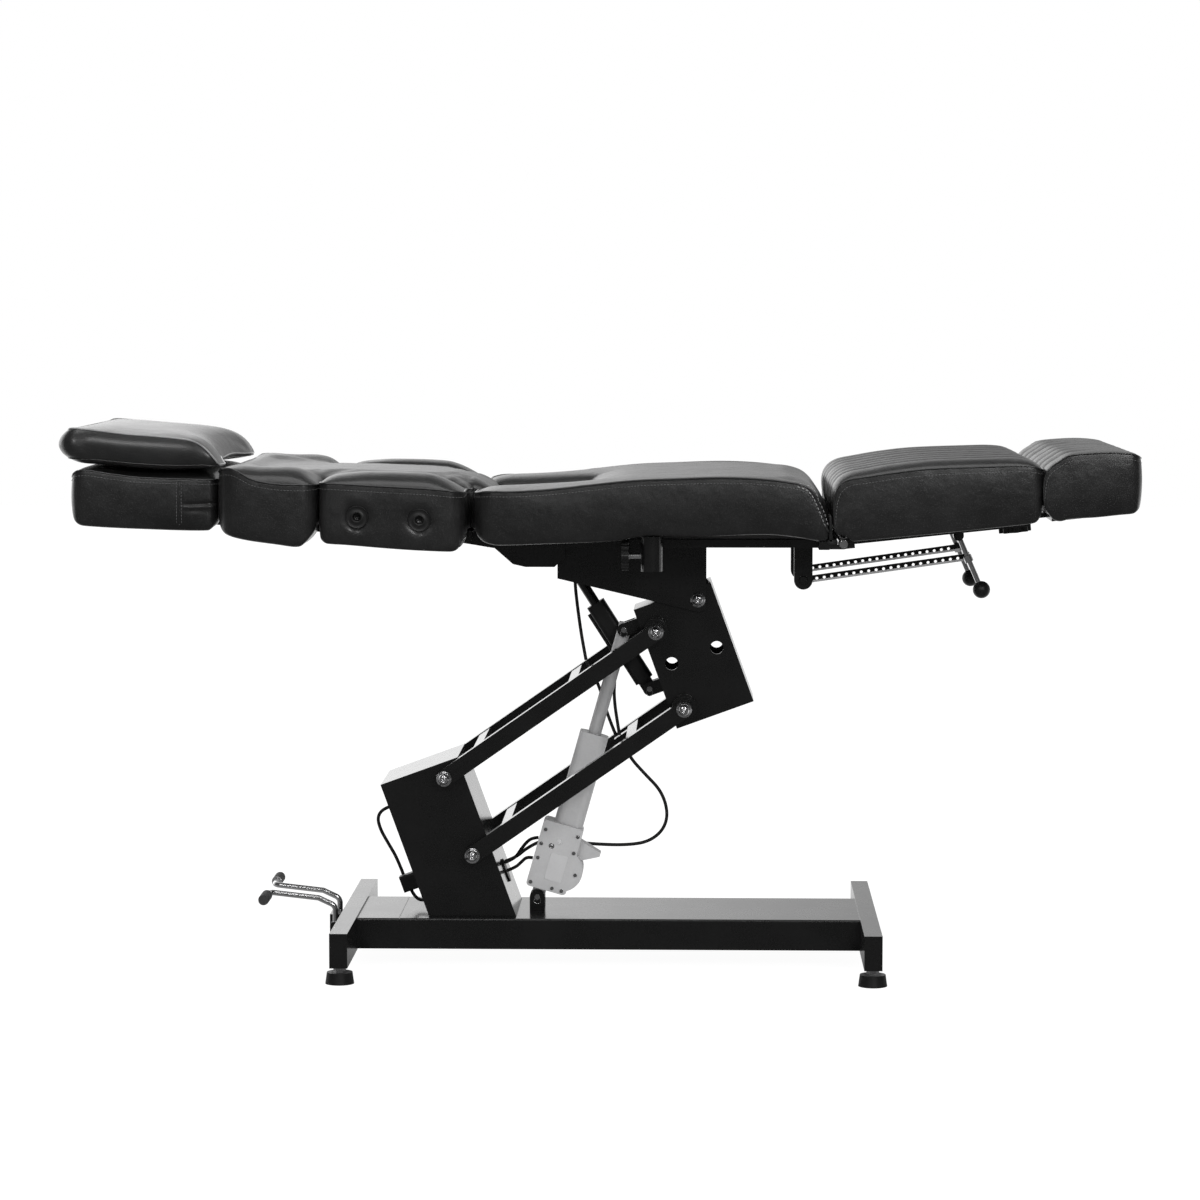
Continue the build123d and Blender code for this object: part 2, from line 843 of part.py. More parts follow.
# Head box with its pivot sleeves
box_plane = side_plane(lower_head, column_lean)
box_mid = ((box_front - box_back) / 2, (box_top - box_low) / 2)
with BuildPart() as head_box:
    with BuildSketch(box_plane):
        with Locations(box_mid):
            Rectangle(box_front + box_back, box_top + box_low)
    extrude(amount=box_half_width, both=True)
    with BuildSketch(box_plane):
        with Locations((0, 0), (0, pivot_spacing)):
            Circle(boss_radius)
    extrude(amount=arm_inner - side_gap, both=True)
    with BuildSketch(box_plane):
        with Locations((box_mid[0], box_mid[1] - box_wall)):
            Rectangle(box_front + box_back - 2 * box_wall, box_top + box_low)
    extrude(amount=box_half_width - box_wall, both=True, mode=Mode.SUBTRACT)
    with BuildSketch(box_plane):
        with Locations((0, 0), (0, pivot_spacing), (tilt_pivot_u, tilt_pivot_v)):
            Circle(pivot_radius)
        with Locations(*[(u, box_hole_v) for u in box_hole_us]):
            Circle(box_hole_radius)
    extrude(amount=arm_outer, both=True, mode=Mode.SUBTRACT)
save(head_box.part, "head_box")

save(
    group([
        pivot_bolt(lower_head, bolt_half, pivot_radius),
        pivot_bolt(upper_head, bolt_half, pivot_radius),
        pivot_bolt(seat_pivot, bracket_out + side_gap, pivot_radius),
    ]),
    "head_pivot_bolts",
)

# Clevises on the head box for the two actuators, with their pins
box_side_lean = column_lean + 90
lift_head_gap = 2 * (lift_rod_radius + side_gap)
tilt_head_gap = tilt_eye_thickness + 2 * side_gap
save(
    group([
        clevis(lift_top, box_side_lean, -lift_top_u - box_back, lift_head_gap, 2 * lift_eye_radius),
        clevis(tilt_foot, box_side_lean, -tilt_pin_u - box_back, tilt_head_gap, 2 * tilt_eye_radius),
        ring_pin(lift_top, lift_head_gap / 2 + clevis_ear),
        ring_pin(tilt_foot, tilt_head_gap / 2 + clevis_ear),
    ]),
    "head_clevises",
)

# Lift actuator
lift_plane = side_plane(lift_foot, lift_lean)
gearbox_mid = ((gearbox_left + gearbox_right) / 2, (gearbox_low + gearbox_high) / 2)
gearbox_size = (gearbox_right - gearbox_left, gearbox_high - gearbox_low)
tube_base = Plane(
    origin=leaned(lift_foot, lift_lean, lift_axis_offset, 0),
    x_dir=(0, 1, 0),
    z_dir=(-sin(radians(lift_lean)), 0, cos(radians(lift_lean))),
)
with BuildPart() as gearbox:
    with BuildSketch(lift_plane):
        with Locations(gearbox_mid):
            RectangleRounded(*gearbox_size, gearbox_corner)
        with Locations((bulge_t, bulge_s)):
            Circle(bulge_radius)
    extrude(amount=gearbox_half_depth, both=True)
    with BuildSketch(lift_plane):
        with BuildLine():
            Polyline(
                (gearbox_right, bulge_s + bulge_radius / 2),
                (gearbox_right + plug_reach, gearbox_high - plug_reach),
                (gearbox_right + plug_reach, gearbox_high - plug_reach + gearbox_corner),
                (gearbox_right, gearbox_high - gearbox_corner * 3),
                close=True,
            )
        make_face()
    extrude(amount=plug_half_depth, both=True)
    with BuildSketch(lift_plane):
        Circle(lift_eye_radius)
        with Locations((0, (gearbox_low + gearbox_wall) / 2)):
            Rectangle(2 * lift_eye_radius, gearbox_low + gearbox_wall)
    extrude(amount=lift_eye_thickness / 2, both=True)
    with BuildSketch(lift_plane):
        with Locations(gearbox_mid):
            Rectangle(gearbox_size[0] - 2 * gearbox_wall, gearbox_size[1] - 2 * gearbox_wall)
        with Locations((bulge_t, bulge_s)):
            Circle(motor_radius)
    extrude(amount=gearbox_half_depth - gearbox_wall, both=True, mode=Mode.SUBTRACT)
    with BuildSketch(lift_plane):
        Circle(pin_radius + running_gap)
    extrude(amount=lift_eye_thickness, both=True, mode=Mode.SUBTRACT)
    with BuildSketch(tube_base.offset(gearbox_high - 2 * gearbox_wall)):
        Circle(lift_tube_bore)
    extrude(amount=2 * gearbox_wall + overrun, mode=Mode.SUBTRACT)
    with BuildSketch(lift_plane.offset(gearbox_half_depth)):
        with Locations(*screw_spots):
            Circle(screw_head_radius / 2)
    extrude(amount=-screw_depth, mode=Mode.SUBTRACT)
save(gearbox.part, "lift_gearbox")


def gearbox_screw(at):
    with BuildPart() as screw:
        with BuildSketch(lift_plane.offset(gearbox_half_depth)):
            with Locations(at):
                Circle(screw_head_radius)
        extrude(amount=screw_head_height)
        with BuildSketch(lift_plane.offset(gearbox_half_depth)):
            with Locations(at):
                Circle(screw_head_radius / 2)
        extrude(amount=-screw_depth)
    return screw.part


save(group([gearbox_screw(at) for at in screw_spots]), "gearbox_screws")

with BuildPart() as motor:
    with BuildSketch(lift_plane):
        with Locations((bulge_t, bulge_s)):
            Circle(motor_radius - gearbox_wall)
    extrude(amount=gearbox_half_depth - gearbox_wall, both=True)
    with BuildSketch(tube_base.offset(lead_screw_start)):
        Circle(lead_screw_radius)
    extrude(amount=lead_screw_start, mode=Mode.SUBTRACT)
save(motor.part, "lift_motor")

with BuildPart() as lift_tube:
    with BuildSketch(tube_base.offset(gearbox_high)):
        RectangleRounded(lift_tube_depth, lift_tube_width, lift_tube_corner)
        Circle(lift_tube_bore, mode=Mode.SUBTRACT)
    extrude(amount=lift_tube_end - gearbox_high - lift_collar)
    with BuildSketch(tube_base.offset(lift_tube_end - lift_collar)):
        RectangleRounded(lift_tube_depth, lift_tube_width, lift_tube_corner)
        Circle(lift_rod_radius + running_gap, mode=Mode.SUBTRACT)
    extrude(amount=lift_collar)
save(lift_tube.part, "lift_tube")

with BuildPart() as lead_screw:
    with BuildSketch(tube_base.offset(lead_screw_start)):
        Circle(lead_screw_radius)
    extrude(amount=lead_screw_end - lead_screw_start)
save(lead_screw.part, "lift_screw")

with BuildPart() as lift_rod:
    with BuildSketch(tube_base.offset(lift_rod_start)):
        Circle(lift_rod_radius)
    extrude(amount=lift_reach + lift_rod_head - lift_rod_start)
    with BuildSketch(tube_base.offset(lift_rod_start)):
        Circle(lead_screw_radius + running_gap)
    extrude(amount=lift_bore_length, mode=Mode.SUBTRACT)
    with BuildSketch(side_plane(lift_top, lift_lean + lift_slot_turn)):
        with Locations((-lift_slot_length / 2, 0)):
            SlotCenterToCenter(lift_slot_length, 2 * (pin_radius + lift_slot_gap))
    extrude(amount=lift_rod_radius + overrun, both=True, mode=Mode.SUBTRACT)
save(lift_rod.part, "lift_rod")

# Tilt actuator
tilt_plane = side_plane(tilt_foot, tilt_lean)
tilt_base = Plane(
    origin=tilt_foot, x_dir=(0, 1, 0), z_dir=(-sin(radians(tilt_lean)), 0, cos(radians(tilt_lean)))
)
with BuildPart() as tilt_housing:
    with BuildSketch(tilt_base.offset(tilt_housing_start)):
        RectangleRounded(tilt_housing_depth, tilt_housing_width, tilt_housing_corner)
    extrude(amount=tilt_housing_end - tilt_housing_start)
    with BuildSketch(tilt_plane):
        Circle(tilt_eye_radius)
        with Locations((0, tilt_housing_start / 2)):
            Rectangle(2 * tilt_eye_radius, tilt_housing_start)
    extrude(amount=tilt_eye_thickness / 2, both=True)
    with BuildSketch(tilt_plane):
        Circle(pin_radius + running_gap)
    extrude(amount=tilt_eye_thickness, both=True, mode=Mode.SUBTRACT)
    with BuildSketch(tilt_base.offset(tilt_housing_end)):
        Circle(tilt_rod_radius + running_gap)
    extrude(amount=-(tilt_housing_end - tilt_housing_start - clevis_base), mode=Mode.SUBTRACT)
save(tilt_housing.part, "tilt_housing")

with BuildPart() as tilt_rod:
    with BuildSketch(tilt_base.offset(tilt_rod_start)):
        Circle(tilt_rod_radius)
    extrude(amount=tilt_span - tilt_eye_radius / 2 - tilt_rod_start)
    with BuildSketch(side_plane(tilt_top)):
        Circle(tilt_eye_radius)
    extrude(amount=tilt_eye_thickness / 2, both=True)
    with BuildSketch(side_plane(tilt_top)):
        Circle(pin_radius + tilt_eye_gap)
    extrude(amount=tilt_eye_thickness, both=True, mode=Mode.SUBTRACT)
save(tilt_rod.part, "tilt_rod")

# Seat bracket: two plates and a top web, with the cross rods that they hold
with BuildPart() as bracket:
    with BuildSketch(side_plane(spot(0, 0))):
        with BuildLine():
            Polyline(
                (bracket_left, deck_low),
                (bracket_left, bracket_left_low),
                (bracket_right - bracket_corner_back, bracket_right_low),
                (bracket_right, bracket_right_low + bracket_web),
                (bracket_right, deck_low),
                close=True,
            )
        make_face()
    extrude(amount=bracket_out, both=True)
    with Locations((base_x + (bracket_left + bracket_right) / 2, 0, deck_low - bracket_web)):
        Box(
            bracket_right - bracket_left + overrun, 2 * bracket_in, deck_low - bracket_right_low + overrun,
            align=(Align.CENTER, Align.CENTER, Align.MAX), mode=Mode.SUBTRACT,
        )
    with BuildSketch(side_plane(Vector(tilt_top.X, 0, tilt_top.Z))):
        Circle(pin_radius)
    extrude(amount=bracket_out + overrun, both=True, mode=Mode.SUBTRACT)
    with BuildSketch(side_plane(spot(bracket_rod_x, bracket_rod_z))):
        Circle(bracket_rod_radius)
    extrude(amount=bracket_out + overrun, both=True, mode=Mode.SUBTRACT)
    with BuildSketch(side_plane(seat_pivot)):
        Circle(pivot_radius + running_gap)
    extrude(amount=bracket_out + overrun, both=True, mode=Mode.SUBTRACT)


def cross_rod(point, radius):
    with BuildPart() as rod:
        with BuildSketch(side_plane(point)):
            Circle(radius)
        extrude(amount=bracket_out, both=True)
    return rod.part


save(
    group([
        bracket.part,
        cross_rod(Vector(tilt_top.X, 0, tilt_top.Z), pin_radius),
        cross_rod(spot(bracket_rod_x, bracket_rod_z), bracket_rod_radius),
    ]),
    "seat_bracket",
)

# Seat frame: a notched deck with strut hangers, leg hinge lugs and back hinge lugs
lug_out = seat_lug_ys[1][1]
seat_lug_height = 8


def seat_lug(low_y, high_y):
    """An eye for a leg hinge on a foot that reaches back to the deck."""
    reach = leg_hinge_x - deck_right
    with BuildPart() as plate:
        with BuildSketch(side_plane(leg_hinge + Vector(0, high_y, 0))):
            Circle(hinge_lug_radius)
            with Locations((-(reach + overrun) / 2, seat_lug_height / 2 - hinge_lug_radius)):
                Rectangle(reach + overrun, seat_lug_height)
            Circle(hinge_pin_radius + running_gap, mode=Mode.SUBTRACT)
        extrude(amount=high_y - low_y)
    return plate.part


with BuildPart() as deck:
    with Locations((base_x + (deck_left + deck_right) / 2, 0, deck_low + deck_height / 2)):
        Box(deck_right - deck_left, 2 * deck_half_width, deck_height)
    with Locations((base_x + (deck_left - overrun + notch_end) / 2, 0, deck_low + deck_height / 2)):
        Box(notch_end - deck_left + overrun, 2 * notch_half_width, 2 * deck_height, mode=Mode.SUBTRACT)
    with Locations((base_x + deck_right - hinge_lug_radius, 0, deck_low + deck_height / 2)):
        Box(2 * hinge_lug_radius, 2 * lug_out, deck_height)
    for _, sign in sides:
        with BuildSketch(side_plane(Vector(back_hinge.X, sign * back_lug_y, back_hinge.Z))):
            Circle(2 * pivot_radius)
            with Locations(((notch_end - back_hinge_x) / 2, deck_low + deck_height / 2 - back_hinge_z)):
                Rectangle(notch_end - back_hinge_x, deck_height)
            with Locations((0, (deck_low - back_hinge_z) / 2)):
                Rectangle(2 * 2 * pivot_radius, back_hinge_z - deck_low)
        extrude(amount=back_lug / 2, both=True)
    with BuildSketch(side_plane(back_hinge)):
        Circle(pivot_radius + running_gap)
    extrude(amount=back_lug_y + back_lug, both=True, mode=Mode.SUBTRACT)


def in_order(a, b):
    return (min(a, b), max(a, b))


def hinge_pin(point, low_y, high_y, radius, head_sign):
    """A pin across a hinge, with one domed head."""
    with BuildPart() as pin:
        with BuildSketch(side_plane(point + Vector(0, high_y, 0))):
            Circle(radius)
        extrude(amount=high_y - low_y)
        with BuildSketch(outward(point, high_y if head_sign > 0 else -low_y, head_sign)):
            Circle(radius + back_pin_head)
        extrude(amount=back_pin_head, taper=dome_taper)
    return pin.part


strut_gap = strut_thickness + 2 * side_gap
strut_half = strut_gap / 2 + hanger_ear
strut_spots = [(sign, strut_pivot + Vector(0, sign * hanger_y, 0)) for _, sign in sides]
with BuildPart() as seat_frame:
    add(deck.part)
    add([
        clevis(place, 180, deck_low - hanger_z, strut_gap, hanger_width, hinge_pin_radius, hanger_ear)
        for _, place in strut_spots
    ])
    add([seat_lug(*in_order(sign * a, sign * b)) for _, sign in sides for a, b in seat_lug_ys])
save(
    group([seat_frame.part] + [
        hinge_pin(place, -strut_half, strut_half, hinge_pin_radius, sign) for sign, place in strut_spots
    ]),
    "seat_frame",
)

# Seat cushion, saddle-shaped, with a notch for the back and a pocket over each armrest socket
seat_left = -222
seat_right = 381
seat_height = 96
seat_crown = 24
seat_sections = (
    (0, 0.93, 0.62, 0.1), (0.02, 0.96, 0.76, 0.3), (0.05, 0.99, 0.86, 0.6), (0.1, 1, 0.9, 0.7),
    (0.22, 1, 0.93, 0.9),
    (0.4, 1, 1.03, 0.9), (0.6, 1, 1.09, 0.8), (0.8, 1, 1.09, 0.8), (0.92, 1, 1.02, 0.8),
    (0.98, 0.98, 0.94, 0.6), (1, 0.93, 0.86, 0.4),
)
seat_pad = pad(
    seat_left, seat_right, 0, bed_width, deck_top + soft_gap, seat_height, seat_crown, sections=seat_sections
)
with BuildPart() as seat_cushion:
    add(seat_pad)
    with Locations((base_x + (seat_left - overrun + notch_end) / 2, 0, deck_top + seat_height)):
        Box(notch_end - seat_left + overrun, 2 * notch_half_width, 4 * seat_height, mode=Mode.SUBTRACT)
    for _, sign in sides:
        with BuildSketch(Plane((base_x + socket_x, sign * socket_y, deck_low))):
            Circle(socket_outer + 2 * slide_gap)
        extrude(amount=socket_high - deck_low + slide_gap, mode=Mode.SUBTRACT)
save(seat_cushion.part, "seat_cushion")


def socket(sign):
    """A tube that takes an armrest post, on a lug from the seat frame's side."""
    y = sign * socket_y
    lug_length = socket_y - deck_half_width
    with BuildPart() as body:
        with BuildSketch(Plane((base_x + socket_x, y, socket_low))):
            Circle(socket_outer)
        extrude(amount=socket_high - socket_low)
        lug_y = sign * (deck_half_width + lug_length / 2)
        with Locations((base_x + socket_x, lug_y, deck_low + deck_height / 2)):
            Box(2 * socket_bore, lug_length, deck_height - 2 * slide_gap)
        with BuildSketch(Plane((base_x + socket_x, y, socket_low - overrun))):
            Circle(socket_bore)
        extrude(amount=socket_high - socket_low + 2 * overrun, mode=Mode.SUBTRACT)
        with BuildSketch(Plane(origin=(base_x + socket_x, y, clamp_z), z_dir=(-1, 0, 0))):
            Circle(clamp_screw_radius + running_gap)
        extrude(amount=socket_outer + overrun, mode=Mode.SUBTRACT)
    return body.part


def clamp_knob(sign):
    """A lobed knob on a screw that ends flush with the socket's bore."""
    y = sign * socket_y
    face = Plane(origin=(base_x + clamp_left, y, clamp_z), z_dir=(1, 0, 0))
    with BuildPart() as knob:
        with BuildSketch(face):
            Circle(clamp_radius - clamp_lobe_radius)
            with PolarLocations(clamp_radius - clamp_lobe_radius, clamp_lobes):
                Circle(clamp_lobe_radius)
        extrude(amount=clamp_thickness)
        with BuildSketch(face):
            Circle(clamp_screw_radius)
        extrude(amount=socket_x - socket_bore - clamp_left - overrun)
    return knob.part


save(group([socket(sign) for _, sign in sides]), "armrest_sockets")
for side, sign in sides:
    save(clamp_knob(sign), f"{side}_armrest_knob")


# Back frame: a deck with slots for the head bars and holes for the wing rods, two curved arms
# that pass under the rear of the seat, and the hinge pin
def back_low(x):
    return back_low_z + (back_low_x - x) * tan(radians(back_rise))


head_board_rise = deck_rise + (back_deck_height - head_bar_height) / 2


def rod_level(x):
    return back_low(x) + deck_rise + back_deck_height / 2


def back_board(left, right, rise, thickness, half, y=0):
    """A board along the back's incline, rise above its underside."""
    run = (right - left) / cos(radians(back_rise))
    with BuildPart() as board:
        with BuildSketch(side_plane(spot(left, back_low(left), y), -back_rise)):
            with Locations((run / 2, rise + thickness / 2)):
                Rectangle(run, thickness)
        extrude(amount=half, both=True)
    return board.part


arm_points = (
    (-335, 765), (-335, 760), (-262, 748), (-200, 738), (-168, 710), (-146, 705), (-95, 705),
    (-77, 722), (-77, 775), (-109, 775), (-109, 752), (-128, 741), (-150, 742), (-185, 758), (-245, 770),
)
arm_bend = 6
with BuildPart() as back_arms:
    with BuildSketch(side_plane(spot(0, 0))) as arm_outline:
        with BuildLine():
            Polyline(*arm_points, close=True)
        make_face()
        fillet(arm_outline.vertices(), arm_bend / 3)
        with Locations((back_hinge_x, back_hinge_z)):
            Circle(2 * pivot_radius)
    extrude(amount=arm_plate_y + arm_plate / 2, both=True)
    with BuildSketch(side_plane(spot(0, 0))):
        Rectangle(2 * bed_width, 4 * bed_width)
    extrude(amount=arm_plate_y - arm_plate / 2, both=True, mode=Mode.SUBTRACT)
with BuildPart() as back_frame:
    add(back_board(back_deck_left, back_deck_right, deck_rise, back_deck_height, back_deck_half))
    add(back_arms.part)
    for _, sign in sides:
        add(
            back_board(
                back_deck_left - overrun, back_deck_left + head_bar_overlap + 2 * slide_gap,
                deck_rise + (back_deck_height - head_bar_height) / 2 - slide_gap,
                head_bar_height + 2 * slide_gap, head_bar_width / 2 + slide_gap, sign * head_bar_y,
            ),
            mode=Mode.SUBTRACT,
        )
        for x in wing_rod_xs:
            with BuildSketch(outward(spot(x, rod_level(x)), back_deck_half + overrun, sign)):
                Circle(wing_rod_radius + running_gap)
            extrude(amount=-(wing_rod_reach + overrun), mode=Mode.SUBTRACT)


back_pin_out = arm_plate_y + arm_plate / 2
with BuildPart() as back_pin_hole:
    add(back_frame.part)
    with BuildSketch(side_plane(back_hinge)):
        Circle(pivot_radius)
    extrude(amount=back_pin_out + overrun, both=True, mode=Mode.SUBTRACT)
save(
    group([back_pin_hole.part, hinge_pin(back_hinge, -back_pin_out, back_pin_out, pivot_radius, -1)]),
    "back_frame",
)

# Back cushion: shoulders, waist and a tongue that enters the seat's notch
back_pocket_top = deck_rise + back_deck_height + soft_gap
pocket = back_board(
    back_deck_left - soft_gap, back_right + overrun, -back_height, back_height + back_pocket_top,
    back_deck_half + soft_gap,
)
with BuildPart() as back_cushion:
    add(pad(back_left, back_waist_start, 0, bed_width, back_low, back_height, back_crown))
    add(pad(
        back_waist_start - back_overlap, back_waist_end, 0, 2 * back_waist_half, back_low, back_height,
        back_crown,
    ))
    add(pocket, mode=Mode.SUBTRACT)
    for _, sign in sides:
        add(
            back_board(
                back_left - overrun, back_deck_left, head_board_rise - soft_gap,
                head_bar_height + 2 * soft_gap, head_bar_width / 2 + soft_gap, sign * head_bar_y,
            ),
            mode=Mode.SUBTRACT,
        )
        for x in wing_rod_xs:
            with BuildSketch(outward(spot(x, rod_level(x)), back_deck_half - overrun, sign)):
                Circle(wing_rod_radius + soft_gap)
            extrude(amount=back_waist_half, mode=Mode.SUBTRACT)
    add(pad(
        back_waist_end - back_overlap, back_right, 0, 2 * back_tongue_half,
        lambda x: back_low(x) + back_pocket_top, back_height - back_pocket_top, back_crown,
        sections=tongue_sections,
    ))
save(back_cushion.part, "back_cushion")


def wing(sign):
    """A wing: a board with guide rods, the pad round it and two grommets in its outer side."""
    middle = sign * (wing_inner + bed_width / 2) / 2
    half = (bed_width / 2 - wing_inner) / 2
    board_half = half - wing_board_inset
    with BuildPart() as board:
        add(back_board(
            wing_left + wing_board_inset, wing_right - wing_board_inset, deck_rise, back_deck_height,
            board_half, middle,
        ))
        for x in wing_rod_xs:
            with BuildSketch(outward(spot(x, rod_level(x), middle), 0, sign)):
                Circle(wing_rod_radius)
            extrude(amount=-(abs(middle) - back_deck_half + wing_rod_reach - wing_rod_gap))
    hollow = back_board(
        wing_left + wing_board_inset - soft_gap, wing_right - wing_board_inset + soft_gap, -wing_height,
        wing_height + back_pocket_top, board_half + soft_gap, middle,
    )
    places = [spot(x, z) for x, z in zip(grommet_xs, grommet_zs)]
    with BuildPart() as cover:
        add(pad(wing_left, wing_right, middle, 2 * half, back_low, back_height, wing_crown))
        add(hollow, mode=Mode.SUBTRACT)
        for x in wing_rod_xs:
            with BuildSketch(outward(spot(x, rod_level(x), middle), 0, sign)):
                Circle(wing_rod_radius + soft_gap)
            extrude(amount=-wing_rod_reach, mode=Mode.SUBTRACT)
        for place in places:
            with BuildSketch(outward(place, bed_width / 2 - grommet_height, sign)):
                Circle(grommet_radius + soft_gap)
            extrude(amount=2 * grommet_height, mode=Mode.SUBTRACT)
    grommets = []
    for place in places:
        with BuildPart() as grommet:
            with BuildSketch(outward(place, bed_width / 2 - grommet_height + soft_gap, sign)):
                Circle(grommet_radius)
                Circle(grommet_bore, mode=Mode.SUBTRACT)
            extrude(amount=grommet_height)
        grommets.append(grommet.part)
    return group([board.part, cover.part] + grommets)


for side, sign in sides:
    save(wing(sign), f"{side}_wing")


# Head section: a board with two bars that run in the back frame, its cushion and the pillow
def head_low(x):
    return back_low(x) + head_cushion_rise


def pillow_level(x):
    """The pillow's underside, which curls up at both ends."""
    left_share = max(0, 1 - (x - pillow_left) / pillow_tip_lengths[0])
    right_share = max(0, 1 - (pillow_right - x) / pillow_tip_lengths[1])
    level = head_low(x) + head_height + head_crown + soft_gap
    return level + pillow_tip_rises[0] * left_share**2 + pillow_tip_rises[1] * right_share**2


with BuildPart() as head_slide:
    add(back_board(
        head_left + head_board_inset, head_right, head_board_rise, head_bar_height, head_deck_half
    ))
    for _, sign in sides:
        add(back_board(
            head_right - overrun, back_deck_left + head_bar_overlap, head_board_rise, head_bar_height,
            head_bar_width / 2, sign * head_bar_y,
        ))
save(head_slide.part, "head_slide")

with BuildPart() as head_cushion:
    add(pad(head_left, head_right, 0, head_width, head_low, head_height, head_crown))
    add(
        back_board(
            head_left + head_board_inset - soft_gap, head_right + overrun, -head_height,
            head_height + head_board_rise + head_bar_height + soft_gap, head_deck_half + soft_gap,
        ),
        mode=Mode.SUBTRACT,
    )
save(head_cushion.part, "head_cushion")

with BuildPart() as head_pillow:
    add(pad(
        pillow_left, pillow_right, 0, pillow_width, pillow_level, pillow_height, pillow_crown,
        sections=pillow_sections,
    ))
    with Locations((base_x + pillow_right - neck_depth + neck_radius, 0, deck_top)):
        Cylinder(neck_radius, 2 * bed_width, mode=Mode.SUBTRACT)
save(head_pillow.part, "head_pillow")


# Leg rests
def leg_low(x):
    return leg_hinge_z + leg_bottom_gap + (x - leg_hinge_x) * tan(radians(leg_rise))


def leg_board(start, end, rise, thickness, half, y):
    """A board along a leg rest's incline, measured from its hinge."""
    with BuildPart() as board:
        with BuildSketch(side_plane(leg_hinge + Vector(0, y, 0), leg_rise)):
            with Locations(((start + end) / 2, rise + thickness / 2)):
                Rectangle(end - start, thickness)
        extrude(amount=half, both=True)
    return board.part


def lug(point, low_y, high_y, lean, radius, reach, hole):
    """A plate with an eye at the point and a foot that reaches along the leaned direction."""
    with BuildPart() as plate:
        with BuildSketch(side_plane(point + Vector(0, high_y - point.Y, 0), lean)):
            Circle(radius)
            with Locations((reach / 2, 0)):
                Rectangle(abs(reach), 2 * radius)
            Circle(hole, mode=Mode.SUBTRACT)
        extrude(amount=high_y - low_y)
    return plate.part


leg_middle = (leg_split / 2 + bed_width / 2) / 2
leg_half = (bed_width / 2 - leg_split / 2) / 2
leg_board_half = leg_half - leg_deck_inset
leg_slot_rise = leg_deck_rise + (leg_deck_height - foot_bar_height) / 2


def leg_frame(sign):
    """A board with hinge lugs and pin, a slot for the foot bar and a post for the release lever."""
    y = sign * leg_middle
    knob_spot = leaned(leg_hinge, leg_rise, knob_reach, leg_deck_rise, y)
    lever_spot = lever_pivot + Vector(0, sign * lever_y, 0)
    with BuildPart() as frame:
        add(leg_board(leg_deck_start, leg_deck_end, leg_deck_rise, leg_deck_height, leg_board_half, y))
        for low_y, high_y in leg_lug_ys:
            add(lug(
                leg_hinge, *in_order(sign * low_y, sign * high_y), leg_rise, hinge_lug_radius,
                leg_deck_start + hinge_lug_radius, hinge_pin_radius,
            ))
        add(lug(
            lever_spot, *in_order(sign * (lever_y + lever_hub), sign * (lever_y + lever_hub + lever_post)),
            leg_rise + 90, hinge_lug_radius, lever_drop, lever_pin_radius,
        ))
        add(
            leg_board(
                leg_deck_end - foot_bar_overlap - foot_start + leg_deck_end, leg_deck_end + overrun,
                leg_slot_rise - slide_gap, foot_bar_height + 2 * slide_gap,
                foot_bar_width / 2 + slide_gap, y,
            ),
            mode=Mode.SUBTRACT,
        )
        with BuildSketch(Plane(origin=knob_spot, z_dir=(-sin(radians(leg_rise)), 0, cos(radians(leg_rise))))):
            Circle(knob_screw_radius + running_gap)
        extrude(amount=leg_slot_rise - leg_deck_rise, mode=Mode.SUBTRACT)
    pin = hinge_pin(leg_hinge, *in_order(sign * lug_start, sign * lug_end), hinge_pin_radius, sign)
    lever_pin = hinge_pin(
        lever_spot, *in_order(-sign * lever_hub, sign * (lever_hub + lever_post)), lever_pin_radius, sign
    )
    return group([frame.part, pin, lever_pin])


def leg_cushion(sign):
    y = sign * leg_middle
    with BuildPart() as cushion:
        add(pad(
            leg_left, leg_right, y, 2 * leg_half, leg_low, leg_height, leg_crown, sections=leg_sections,
            channels=4,
        ))
        add(
            leg_board(
                leg_deck_start - slide_gap, leg_length + overrun, -leg_height,
                leg_height + leg_deck_rise + leg_deck_height + soft_gap, leg_board_half + soft_gap, y,
            ),
            mode=Mode.SUBTRACT,
        )
        add(
            leg_board(
                leg_deck_start - leg_start_gap, leg_deck_start + overrun, -leg_height,
                leg_height + hinge_lug_radius + overrun, leg_half + overrun, y,
            ),
            mode=Mode.SUBTRACT,
        )
    return cushion.part


def strut(sign):
    """A flat bar with a row of holes, on its hanger's pin, with a stop at its free end."""
    pivot = strut_pivot + Vector(0, sign * hanger_y, 0)
    with BuildPart() as bar:
        with BuildSketch(side_plane(pivot, strut_angle)):
            Circle(hinge_lug_radius)
            with Locations((strut_length / 2, 0)):
                Rectangle(strut_length, strut_height)
            with Locations((strut_length - strut_stop, 0)):
                Rectangle(2 * strut_stop, strut_height + strut_stop)
        extrude(amount=strut_thickness / 2, both=True)
        with BuildSketch(side_plane(pivot, strut_angle)):
            Circle(hinge_pin_radius + running_gap)
            with Locations(*[(strut_hole_first + k * strut_hole_pitch, 0) for k in range(strut_holes)]):
                Circle(strut_hole_radius)
        extrude(amount=strut_thickness, both=True, mode=Mode.SUBTRACT)
    return bar.part


